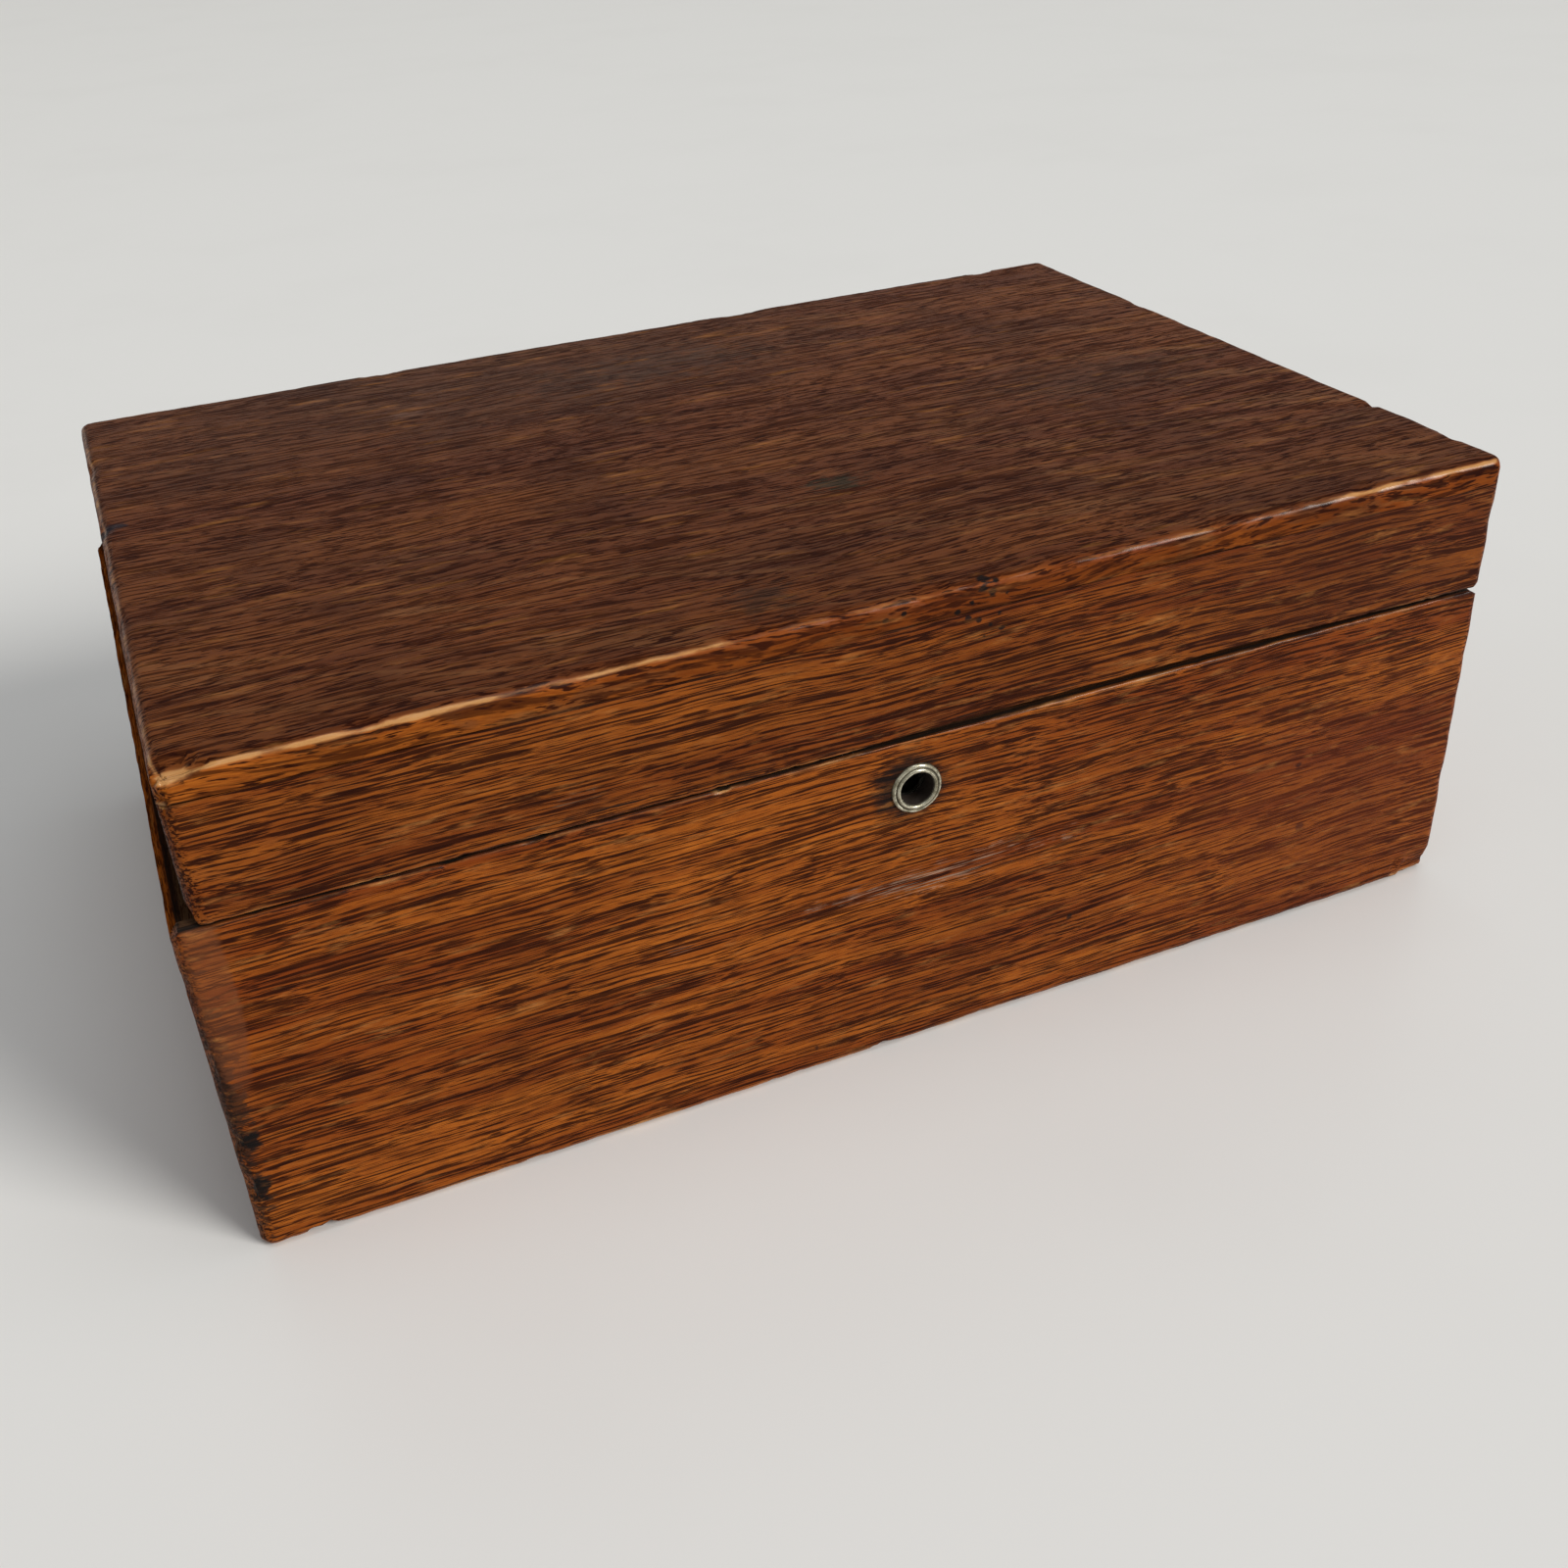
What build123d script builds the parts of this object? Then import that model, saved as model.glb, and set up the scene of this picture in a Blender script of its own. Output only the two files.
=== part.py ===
from build123d import *
from math import atan, degrees, radians, tan
import os

# An oak cigar humidor, closed: a deep base box and a shallow lid, lined with panes of opal glass.
# Millimetres. The origin is the middle of the underside, +X to the right, +Y to the back, +Z up.

# Box outside
box_width = 280.0
box_depth = 190.5
base_height = 75.0
lid_height = 29.9
parting_gap = 0.4
lid_left_inset = 3.8

# Boards and their joints
side_board = 12.0
lid_top_thick = 6.0
bottom_thick = 7.0
corner_tongue = 4.0
bottom_rabbet = 5.0
board_fit = 0.1

# Rounded and worn edges
corner_radius = 3.0
foot_radius = 1.8
lid_top_radius = 2.2
base_end_bevel = (3.5, 2.2)
lid_end_bevel = (3.6, 1.8)
lid_left_bevel = (1.4, 4.0)
lid_hollow_start = -32.0
lid_hollow_end = 134.0
lid_hollow_rise = 1.3

# Opal glass lining
glass_thick = 4.8
glass_bed = 0.5
glass_joint = 0.2
glass_lip = 4.0
glass_arris = 0.5
lid_glass_space = 0.6

# Butt hinges, their pins at the bottom of the V between the two bevelled back edges
hinge_inset = 55.0
hinge_length = 38.0
hinge_setback = 4.0
stop_angle = 48.0
leaf_thick = 1.2
knuckle_radius = 2.2
knuckle_count = 3
knuckle_gap = 0.15
knuckle_relief = 0.3
hinge_pin_radius = 1.0
pin_fit = 0.05
leaf_screw_spacing = 24.0

# Wood screws
screw_head_radius = 2.0
screw_shank_radius = 1.1
screw_length = 10.0
screw_head_depth = 0.9
screw_fit = 0.05

# Keyhole bush
keyhole_drop = 11.2
keyhole_radius = 3.7
bush_tube_radius = 4.6
bush_flange_radius = 5.5
bush_flange_height = 0.6
bush_lip_height = 0.95
bush_roll = 0.8
bush_groove_height = 0.35

# Box lock, let into the front board from inside and from above
lock_width = 54.0
lock_drop = 21.0
lock_plate_thick = 1.4
lock_depth = 8.0
cap_margin = 6.4
cap_drop = 20.0
cap_wall = 0.8
lock_fit = 0.2
key_post_radius = 1.2
key_post_space = 1.2
lock_screw_margin = 3.2
lock_screw_length = 8.0

# Sliding bolt, whose two claws pass through the staples of the link plate
bolt_travel = 4.0
bolt_thick = 2.0
bolt_bar = 4.4
bolt_bar_top = 6.4
bolt_reach = 34.0
bolt_claw_height = 1.9
bolt_claw_post = 3.0
bolt_running = 0.1
spring_thick = 0.5
stump_radius = 1.0
stump_spacing = 22.0
staple_spacing = 18.0
staple_thick = 2.0
staple_width = 5.0
staple_wall = 0.9
staple_space = 0.6
link_plate_margin = 7.0
link_screw_inset = 4.5

# Moistener under the lid: a case with a pierced grille, on two screwed rails
case_length = 120.0
case_width = 44.0
case_height = 9.8
case_wall = 0.8
case_flange = 3.0
flange_thick = 1.2
case_corner = 3.0
slide_fit = 0.3
rail_thick = 1.0
rail_foot = 8.0
rail_lip = 3.0
rail_stop = 1.0
grille_thick = 0.8
grille_rim = 4.0
grille_slot_length = 18.0
grille_slot_width = 6.0
grille_columns = 5
grille_rows = 2
grille_pitch_x = 22.5
grille_pitch_y = 16.0
block_space = 0.3
rail_screw_margin = 14.0

# Places worked out from the sizes above
left_end = -box_width / 2
right_end = box_width / 2
front_face = -box_depth / 2
back_face = box_depth / 2
lid_low = base_height + parting_gap
lid_seam = lid_low + lid_height - lid_top_thick
box_top = lid_low + lid_height
lid_left = left_end + lid_left_inset
lid_middle = (lid_left + right_end) / 2
lid_length = right_end - lid_left
lid_left_board_thick = side_board - lid_left_inset
inner_x = box_width / 2 - side_board
inner_y = box_depth / 2 - side_board
frame_y = box_depth / 2 - corner_tongue
pin_y = back_face - hinge_setback
pin_z = base_height + parting_gap / 2
hinge_middle_x = box_width / 2 - hinge_inset
stop_drop = hinge_setback * tan(radians(stop_angle))
glass_x = inner_x - glass_bed
glass_y = inner_y - glass_bed
well_x = glass_x - glass_thick
well_y = glass_y - glass_thick
floor_top = bottom_thick + glass_joint + glass_thick
lip_top = base_height + glass_lip
lid_pane_top = lid_seam - glass_joint
lid_pane_low = lid_pane_top - glass_thick
keyhole_z = base_height - keyhole_drop
plate_y = -inner_y - lock_plate_thick
cap_y = -inner_y - lock_depth
works_y = (plate_y + cap_y + cap_wall) / 2
cap_width = lock_width - 2 * cap_margin
link_plate_length = lock_width - 2 * link_plate_margin

os.makedirs("parts", exist_ok=True)


def save(piece, name):
    """Label a finished piece and write it as one STEP file."""
    piece.part.label = name
    export_step(piece.part, "parts/" + name + ".step")


def block(x_low, x_high, y_low, y_high, z_low, z_high):
    """A plain block between three pairs of planes, for recesses and straight pieces."""
    with BuildPart() as made:
        with BuildSketch(Plane.XY.offset(z_low)):
            with Locations(((x_low + x_high) / 2, (y_low + y_high) / 2)):
                Rectangle(x_high - x_low, y_high - y_low)
        extrude(amount=z_high - z_low)
    return made.part


def wood_screw(length):
    """A countersunk screw along -Z, with its head's face at the origin."""
    with BuildPart() as made:
        with BuildSketch(Plane.XZ):
            with BuildLine():
                Polyline(
                    (0, 0),
                    (screw_head_radius, 0),
                    (screw_shank_radius, -screw_head_depth),
                    (screw_shank_radius, -length),
                    (0, -length),
                    close=True,
                )
            make_face()
        revolve(axis=Axis.Z)
    return made.part


def pilot_holes(planes, length):
    """Plain holes in the current piece for the shanks of screws whose heads lie on the planes."""
    with Locations(*planes):
        Hole(screw_shank_radius + screw_fit, depth=length + screw_fit)


def countersunk_holes(planes, thick):
    """Countersunk holes through a plate of the current piece, one for each screw's plane."""
    spread = screw_head_radius - screw_shank_radius
    with Locations(*planes):
        CounterSinkHole(
            radius=screw_shank_radius + screw_fit,
            counter_sink_radius=screw_head_radius + screw_fit,
            depth=thick + board_fit,
            counter_sink_angle=2 * degrees(atan(spread / screw_head_depth)),
        )


def end_wedge(x_end, width, z_edge, height):
    """The worn edge across an end of the box, as the wedge that it has lost."""
    side = 1 if x_end > 0 else -1
    with BuildPart() as made:
        with BuildSketch(Plane.XZ):
            with BuildLine():
                Polyline(
                    (x_end - side * width, z_edge),
                    (x_end + side, z_edge),
                    (x_end + side, z_edge + height * (1 + 1 / width)),
                    close=True,
                )
            make_face()
        extrude(amount=box_depth, both=True)
    return made.part


def stop_wedge(z_edge, side):
    """The bevel along a back edge: base and lid bevels meet and stop the open lid."""
    over = 1 + 1 / hinge_setback
    with BuildPart() as made:
        with BuildSketch(Plane.YZ):
            with BuildLine():
                Polyline(
                    (pin_y, z_edge),
                    (back_face + 1, z_edge),
                    (back_face + 1, z_edge + side * stop_drop * over),
                    close=True,
                )
            make_face()
        extrude(amount=box_width, both=True)
    return made.part


def hinge_centres():
    """The middle of each hinge along X."""
    return (-hinge_middle_x, hinge_middle_x)


def hinge_recess(z_low, z_high):
    """What both hinges need cut from a back board: the leaf's recess and the knuckles' groove."""
    with BuildPart() as made:
        for middle in hinge_centres():
            half = hinge_length / 2 + board_fit
            add(block(middle - half, middle + half, inner_y - 1, pin_y, z_low, z_high))
            with BuildSketch(Plane.YZ.offset(middle - half)):
                with Locations((pin_y, pin_z)):
                    Circle(knuckle_radius + knuckle_relief)
            extrude(amount=2 * half)
    return made.part


def leaf_screw_planes(z_face, side):
    """The head plane of every screw in the two leaves on one side of the parting."""
    middle_y = (inner_y + glass_joint + pin_y - knuckle_radius) / 2
    planes = []
    for middle in hinge_centres():
        for x in (middle - leaf_screw_spacing / 2, middle + leaf_screw_spacing / 2):
            place = (x, middle_y, z_face)
            planes.append(Plane(origin=place, x_dir=(1, 0, 0), z_dir=(0, 0, side)))
    return planes


# Outer forms that every board is cut to
with BuildPart() as base_form:
    with BuildSketch():
        Rectangle(box_width, box_depth)
    extrude(amount=base_height)
    fillet(base_form.edges().filter_by(Axis.Z), corner_radius)
    fillet(base_form.faces().sort_by(Axis.Z)[0].edges(), foot_radius)
    add(end_wedge(right_end, base_end_bevel[0], base_height, -base_end_bevel[1]), mode=Mode.SUBTRACT)
    add(end_wedge(left_end, base_end_bevel[0] / 2, base_height, -base_end_bevel[1]), mode=Mode.SUBTRACT)
    add(stop_wedge(base_height, -1), mode=Mode.SUBTRACT)

with BuildPart() as lid_form:
    with BuildSketch(Plane.XY.offset(lid_low)):
        with Locations((lid_middle, 0)):
            Rectangle(lid_length, box_depth)
    extrude(amount=lid_height)
    fillet(lid_form.edges().filter_by(Axis.Z), corner_radius)
    fillet(lid_form.faces().sort_by(Axis.Z)[-1].edges(), lid_top_radius)
    add(end_wedge(right_end, lid_end_bevel[0], lid_low, lid_end_bevel[1]), mode=Mode.SUBTRACT)
    add(end_wedge(lid_left, lid_left_bevel[0], lid_low, lid_left_bevel[1]), mode=Mode.SUBTRACT)
    add(stop_wedge(lid_low, 1), mode=Mode.SUBTRACT)

# Base boards: front and back run the full width, rabbeted for the ends of the side boards
bottom_void = block(
    -inner_x - bottom_rabbet,
    inner_x + bottom_rabbet,
    -inner_y - bottom_rabbet,
    inner_y + bottom_rabbet,
    -1,
    bottom_thick,
)
lock_screw_x = lock_width / 2 - lock_screw_margin
lock_screw_low = base_height - lock_drop + lock_screw_margin
lock_screw_high = base_height - 2 * lock_screw_margin
lock_screw_planes = [
    Plane(origin=(x, -inner_y, z), x_dir=(1, 0, 0), z_dir=(0, 1, 0))
    for x in (-lock_screw_x, lock_screw_x)
    for z in (lock_screw_low, lock_screw_high)
]
staple_places = (-staple_spacing / 2, staple_spacing / 2)

with BuildPart() as base_front_board:
    with BuildSketch():
        with Locations((0, front_face + side_board / 2)):
            Rectangle(box_width, side_board)
        with Locations((left_end, -inner_y), (right_end, -inner_y)):
            Rectangle(2 * side_board, 2 * (side_board - corner_tongue), mode=Mode.SUBTRACT)
    extrude(amount=base_height)
    add(base_form.part, mode=Mode.INTERSECT)
    add(bottom_void, mode=Mode.SUBTRACT)
    plate_half = lock_width / 2 + board_fit
    cap_half = cap_width / 2 + lock_fit
    selvedge_low = base_height - lock_plate_thick
    plate_low = base_height - lock_drop - board_fit
    cap_low = base_height - cap_drop - lock_fit
    add(
        block(-plate_half, plate_half, cap_y - board_fit, 0, selvedge_low, base_height + 1),
        mode=Mode.SUBTRACT,
    )
    add(block(-plate_half, plate_half, plate_y, 0, plate_low, base_height + 1), mode=Mode.SUBTRACT)
    add(block(-cap_half, cap_half, cap_y - lock_fit, 0, cap_low, base_height + 1), mode=Mode.SUBTRACT)
    with BuildSketch(Plane.XZ.offset(-front_face)):
        with Locations((0, keyhole_z)):
            Circle(bush_tube_radius + screw_fit)
    extrude(amount=-side_board / 2, mode=Mode.SUBTRACT)
    pilot_holes(lock_screw_planes, lock_screw_length)
save(base_front_board, "base_front_board")

with BuildPart() as base_back_board:
    with BuildSketch():
        with Locations((0, back_face - side_board / 2)):
            Rectangle(box_width, side_board)
        with Locations((left_end, inner_y), (right_end, inner_y)):
            Rectangle(2 * side_board, 2 * (side_board - corner_tongue), mode=Mode.SUBTRACT)
    extrude(amount=base_height)
    add(base_form.part, mode=Mode.INTERSECT)
    add(bottom_void, mode=Mode.SUBTRACT)
    add(hinge_recess(base_height - leaf_thick, base_height + 1), mode=Mode.SUBTRACT)
    pilot_holes(leaf_screw_planes(base_height, 1), screw_length)
save(base_back_board, "base_back_board")


def base_side_board(x_low, x_high, name):
    """An end of the base, between the tongues of the front and back boards."""
    with BuildPart() as made:
        add(block(x_low, x_high, -frame_y, frame_y, 0, base_height))
        add(base_form.part, mode=Mode.INTERSECT)
        add(bottom_void, mode=Mode.SUBTRACT)
    save(made, name)


base_side_board(left_end, -inner_x, "base_left_board")
base_side_board(inner_x, right_end, "base_right_board")

with BuildPart() as base_bottom_board:
    with BuildSketch():
        bottom_length = 2 * (inner_x + bottom_rabbet - board_fit)
        bottom_width = 2 * (inner_y + bottom_rabbet - board_fit)
        Rectangle(bottom_length, bottom_width)
    extrude(amount=bottom_thick)
save(base_bottom_board, "base_bottom_board")

# Lid boards: a shallow frame like the base's, with a thin top board laid over it
link_low_y = cap_y
link_screw_x = link_plate_length / 2 - link_screw_inset
link_screw_planes = [
    Plane(origin=(x, (link_low_y - inner_y) / 2, lid_low), x_dir=(1, 0, 0), z_dir=(0, 0, -1))
    for x in (-link_screw_x, link_screw_x)
]


def lid_long_board(side):
    """The front (side -1) or back (side 1) board of the lid, with its end rabbets."""
    rabbet = 2 * (side_board - corner_tongue)
    with BuildPart() as made:
        with BuildSketch(Plane.XY.offset(lid_low)):
            with Locations((lid_middle, side * (back_face - side_board / 2))):
                Rectangle(lid_length, side_board)
            with Locations((lid_left, side * inner_y)):
                Rectangle(2 * lid_left_board_thick, rabbet, mode=Mode.SUBTRACT)
            with Locations((right_end, side * inner_y)):
                Rectangle(2 * side_board, rabbet, mode=Mode.SUBTRACT)
        extrude(amount=lid_seam - lid_low)
        add(lid_form.part, mode=Mode.INTERSECT)
    return made.part


with BuildPart() as lid_front_board:
    add(lid_long_board(-1))
    with BuildSketch(Plane.XZ.offset(-front_face)):
        with BuildLine():
            hollow_middle = ((lid_hollow_start + lid_hollow_end) / 2, lid_low + lid_hollow_rise)
            ThreePointArc((lid_hollow_start, lid_low), hollow_middle, (lid_hollow_end, lid_low))
            Line((lid_hollow_end, lid_low), (lid_hollow_start, lid_low))
        make_face()
    extrude(amount=-corner_tongue, mode=Mode.SUBTRACT)
    link_half = link_plate_length / 2 + board_fit
    add(
        block(-link_half, link_half, link_low_y - board_fit, 0, 0, lid_low + lock_plate_thick),
        mode=Mode.SUBTRACT,
    )
    pilot_holes(link_screw_planes, screw_length)
save(lid_front_board, "lid_front_board")

with BuildPart() as lid_back_board:
    add(lid_long_board(1))
    add(hinge_recess(lid_low - 1, lid_low + leaf_thick), mode=Mode.SUBTRACT)
    pilot_holes(leaf_screw_planes(lid_low, -1), screw_length)
save(lid_back_board, "lid_back_board")


def lid_side_board(x_low, x_high, name):
    """An end of the lid, between the tongues of its front and back boards."""
    with BuildPart() as made:
        add(block(x_low, x_high, -frame_y, frame_y, lid_low, lid_seam))
        add(lid_form.part, mode=Mode.INTERSECT)
    save(made, name)


lid_side_board(lid_left, -inner_x, "lid_left_board")
lid_side_board(inner_x, right_end, "lid_right_board")

rail_y = case_width / 2 + case_flange + slide_fit + rail_thick + rail_foot / 2
rail_screw_x = case_length / 2 - rail_screw_margin
rail_top = lid_pane_low
rail_screw_length = rail_thick + glass_thick + glass_joint + lid_top_thick - 1.5
rail_screw_planes = [
    Plane(origin=(x, y, rail_top - rail_thick), x_dir=(1, 0, 0), z_dir=(0, 0, -1))
    for x in (-rail_screw_x, rail_screw_x)
    for y in (-rail_y, rail_y)
]

with BuildPart() as lid_top_board:
    add(block(lid_left, right_end, front_face, back_face, lid_seam, box_top))
    add(lid_form.part, mode=Mode.INTERSECT)
    pilot_holes(rail_screw_planes, rail_screw_length)
save(lid_top_board, "lid_top_board")


def pane(x_low, x_high, y_low, y_high, z_low, z_high, name):
    """A pane of opal glass with its edges rubbed down."""
    with BuildPart() as made:
        add(block(x_low, x_high, y_low, y_high, z_low, z_high))
        chamfer(made.edges(), glass_arris)
    save(made, name)


# Base lining: the wall panes stand on the floor pane and above the rim, as a lip for the lid
pane(-glass_x, glass_x, -glass_y, glass_y, bottom_thick + glass_joint, floor_top, "base_glass_floor")
wall_low = floor_top + glass_joint
end_pane_y = well_y - glass_joint
pane(-glass_x, glass_x, -glass_y, -well_y, wall_low, lip_top, "base_glass_front")
pane(-glass_x, glass_x, well_y, glass_y, wall_low, lip_top, "base_glass_back")
pane(-glass_x, -well_x, -end_pane_y, end_pane_y, wall_low, lip_top, "base_glass_left")
pane(well_x, glass_x, -end_pane_y, end_pane_y, wall_low, lip_top, "base_glass_right")

# Lid lining: short wall panes above the lip, under the top pane
lid_wall_low = lip_top + lid_glass_space
lid_wall_top = lid_pane_low - glass_joint
pane(-glass_x, glass_x, -glass_y, -well_y, lid_wall_low, lid_wall_top, "lid_glass_front")
pane(-glass_x, glass_x, well_y, glass_y, lid_wall_low, lid_wall_top, "lid_glass_back")
pane(-glass_x, -well_x, -end_pane_y, end_pane_y, lid_wall_low, lid_wall_top, "lid_glass_left")
pane(well_x, glass_x, -end_pane_y, end_pane_y, lid_wall_low, lid_wall_top, "lid_glass_right")

with BuildPart() as lid_glass_top:
    add(block(-glass_x, glass_x, -glass_y, glass_y, lid_pane_low, lid_pane_top))
    chamfer(lid_glass_top.edges(), glass_arris)
    pilot_holes(rail_screw_planes, rail_screw_length)
save(lid_glass_top, "lid_glass_top")


def hinge_leaf(middle, first, z_face, side, name):
    """One leaf: a plate let into the rim, every other knuckle of the barrel, and its screw holes."""
    pitch = hinge_length / knuckle_count
    start = middle - hinge_length / 2
    plate_z = sorted((z_face, z_face - side * leaf_thick))
    edge_y = pin_y - knuckle_radius - knuckle_relief
    with BuildPart() as made:
        add(block(start, start + hinge_length, inner_y + glass_joint, edge_y, plate_z[0], plate_z[1]))
        for number in range(first, knuckle_count, 2):
            low = start + number * pitch + knuckle_gap
            high = low + pitch - 2 * knuckle_gap
            add(block(low, high, edge_y - 1, pin_y, plate_z[0], plate_z[1]))
            with BuildSketch(Plane.YZ.offset(low)):
                with Locations((pin_y, pin_z)):
                    Circle(knuckle_radius)
            extrude(amount=high - low)
        with BuildSketch(Plane.YZ.offset(start)):
            with Locations((pin_y, pin_z)):
                Circle(hinge_pin_radius + pin_fit)
        extrude(amount=hinge_length, mode=Mode.SUBTRACT)
        countersunk_holes(leaf_screw_planes(z_face, side), leaf_thick)
    save(made, name)


for side_name, hinge_middle in zip(("left", "right"), hinge_centres()):
    hinge_leaf(hinge_middle, 0, base_height, 1, "hinge_leaf_base_" + side_name)
    hinge_leaf(hinge_middle, 1, lid_low, -1, "hinge_leaf_lid_" + side_name)
    with BuildPart() as hinge_pin:
        with BuildSketch(Plane.YZ.offset(hinge_middle - hinge_length / 2)):
            with Locations((pin_y, pin_z)):
                Circle(hinge_pin_radius)
        extrude(amount=hinge_length)
        chamfer(hinge_pin.edges(), hinge_pin_radius / 4)
    save(hinge_pin, "hinge_pin_" + side_name)


def screw_set(planes, length, name):
    """A group of equal screws, one on each plane."""
    with BuildPart() as made:
        with Locations(*planes):
            add(wood_screw(length))
    save(made, name)


screw_set(leaf_screw_planes(base_height, 1), screw_length, "base_hinge_screws")
screw_set(leaf_screw_planes(lid_low, -1), screw_length, "lid_hinge_screws")
screw_set(lock_screw_planes, lock_screw_length, "lock_screws")
screw_set(link_screw_planes, screw_length, "link_plate_screws")
screw_set(rail_screw_planes, rail_screw_length, "moistener_rail_screws")

# Keyhole bush: a turned ring with a raised inner lip, and a tube through to the lock
with BuildPart() as keyhole_bush:
    with BuildSketch(Plane.XY.offset(keyhole_z)):
        with BuildLine():
            lip_radius = keyhole_radius + bush_roll
            Polyline(
                (keyhole_radius, cap_y - lock_fit),
                (keyhole_radius, front_face - bush_flange_height),
                (keyhole_radius + bush_roll / 4, front_face - bush_lip_height),
                (lip_radius - bush_roll / 4, front_face - bush_lip_height),
                (lip_radius, front_face - bush_groove_height),
                (lip_radius + bush_roll / 4, front_face - bush_groove_height),
                (lip_radius + bush_roll / 2, front_face - bush_flange_height),
                (bush_flange_radius - bush_roll / 2, front_face - bush_flange_height),
                (bush_flange_radius, front_face),
                (bush_tube_radius, front_face),
                (bush_tube_radius, cap_y - lock_fit),
                close=True,
            )
        make_face()
    revolve(axis=Axis((0, 0, keyhole_z), (0, 1, 0)))
save(keyhole_bush, "keyhole_bush")

# Lock plate: a back plate flush with the inside of the board, bent over into the selvedge
stump_places = (-stump_spacing / 2, stump_spacing / 2)
bar_top = base_height - bolt_bar_top
bar_low = bar_top - bolt_bar
slot_z = (bar_top + bar_low) / 2

with BuildPart() as lock_plate:
    add(block(-lock_width / 2, lock_width / 2, plate_y, -inner_y, base_height - lock_drop, base_height))
    add(block(-lock_width / 2, lock_width / 2, cap_y, -inner_y, selvedge_low, base_height))
    for middle in staple_places:
        slot_x = staple_thick / 2 + staple_space
        slot_y = staple_width / 2 + staple_space / 2
        add(
            block(
                middle - slot_x,
                middle + slot_x,
                works_y - slot_y,
                works_y + slot_y,
                selvedge_low - 0.1,
                base_height + 1,
            ),
            mode=Mode.SUBTRACT,
        )
    with BuildSketch(Plane.XZ.offset(-plate_y)):
        with Locations(*[(x, slot_z) for x in stump_places]):
            Circle(2 * stump_radius)
    extrude(amount=plate_y - works_y - bolt_thick / 2 - bolt_running)
    with BuildSketch(Plane.XZ.offset(-plate_y)):
        with Locations(*[(x, slot_z) for x in stump_places]):
            Circle(stump_radius)
    extrude(amount=plate_y - cap_y - cap_wall - bolt_running)
    with BuildSketch(Plane.XZ.offset(-plate_y)):
        with Locations((0, keyhole_z)):
            Circle(key_post_radius * 0.8 + board_fit / 2)
    extrude(amount=-lock_plate_thick, mode=Mode.SUBTRACT)
    countersunk_holes(lock_screw_planes, lock_plate_thick)
save(lock_plate, "lock_plate")

with BuildPart() as lock_key_post:
    with BuildSketch(Plane.XZ.offset(-plate_y)):
        with Locations((0, keyhole_z)):
            Circle(key_post_radius)
    extrude(amount=plate_y - cap_y - key_post_space)
    chamfer(lock_key_post.faces().sort_by(Axis.Y)[0].edges(), key_post_radius / 3)
    with BuildSketch(Plane.XZ.offset(-plate_y)):
        with Locations((0, keyhole_z)):
            Circle(key_post_radius * 0.8)
    extrude(amount=-lock_plate_thick)
save(lock_key_post, "lock_key_post")

with BuildPart() as lock_cap:
    cap_inner = cap_width / 2 - cap_wall
    cap_base = base_height - cap_drop
    add(block(-cap_width / 2, cap_width / 2, cap_y, plate_y, cap_base, selvedge_low))
    add(
        block(-cap_inner, cap_inner, cap_y + cap_wall, plate_y, cap_base + cap_wall, selvedge_low),
        mode=Mode.SUBTRACT,
    )
    with BuildSketch(Plane.XZ.offset(-cap_y)):
        with Locations((0, keyhole_z)):
            Circle(keyhole_radius)
    extrude(amount=-cap_wall, mode=Mode.SUBTRACT)
save(lock_cap, "lock_cap")

# Bolt, drawn back: a slotted bar on two stumps, with a talon for the key and two hooked claws
claw_low = bar_top + staple_space + staple_wall + staple_space
claw_high = claw_low + bolt_claw_height
bolt_left = -(bolt_reach + bolt_travel) / 2
talon_half = key_post_radius + bolt_travel / 2 + 0.5
detent_x = stump_spacing / 2 - 3.0

with BuildPart() as lock_bolt:
    with BuildSketch(Plane.XZ.offset(-works_y - bolt_thick / 2)):
        with Locations((bolt_left + bolt_reach / 2, slot_z)):
            Rectangle(bolt_reach, bolt_bar)
        for middle in staple_places:
            claw_tip = middle - staple_thick / 2 - staple_space
            claw_root = claw_tip - bolt_travel
            claw_left = claw_root - bolt_claw_post
            with Locations(((claw_left + claw_root) / 2, (bar_top + claw_high) / 2)):
                Rectangle(bolt_claw_post, claw_high - bar_top)
            with Locations(((claw_left + claw_tip) / 2, (claw_low + claw_high) / 2)):
                Rectangle(claw_tip - claw_left, bolt_claw_height)
        with Locations(*[(x - bolt_travel / 2, slot_z) for x in stump_places]):
            slot_width = 2 * (stump_radius + bolt_running)
            SlotCenterToCenter(bolt_travel, slot_width, mode=Mode.SUBTRACT)
        talon_height = keyhole_z + key_post_radius + 0.6 - bar_low
        with Locations((-bolt_travel / 2, bar_low + talon_height / 2)):
            Rectangle(2 * talon_half, talon_height, mode=Mode.SUBTRACT)
        with Locations((detent_x, bar_low), (detent_x - bolt_travel, bar_low)):
            Circle(0.7, mode=Mode.SUBTRACT)
    extrude(amount=bolt_thick)
save(lock_bolt, "lock_bolt")

# Spring: a bowed strip on the cap's floor, whose end presses up into the bolt's detents
with BuildPart() as lock_spring:
    with BuildSketch(Plane.XZ.offset(-works_y - bolt_thick / 2)):
        with BuildLine():
            spring_foot = cap_base + cap_wall + spring_thick / 2 + bolt_running
            foot_start = (detent_x + 7.0, spring_foot)
            foot_end = (detent_x - 1.0, spring_foot)
            Line(foot_start, foot_end)
            ThreePointArc(
                foot_end,
                (detent_x - 3.0, (spring_foot + bar_low) / 2),
                (detent_x, bar_low - spring_thick),
            )
        trace(line_width=spring_thick)
    extrude(amount=bolt_thick)
save(lock_spring, "lock_spring")

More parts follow.
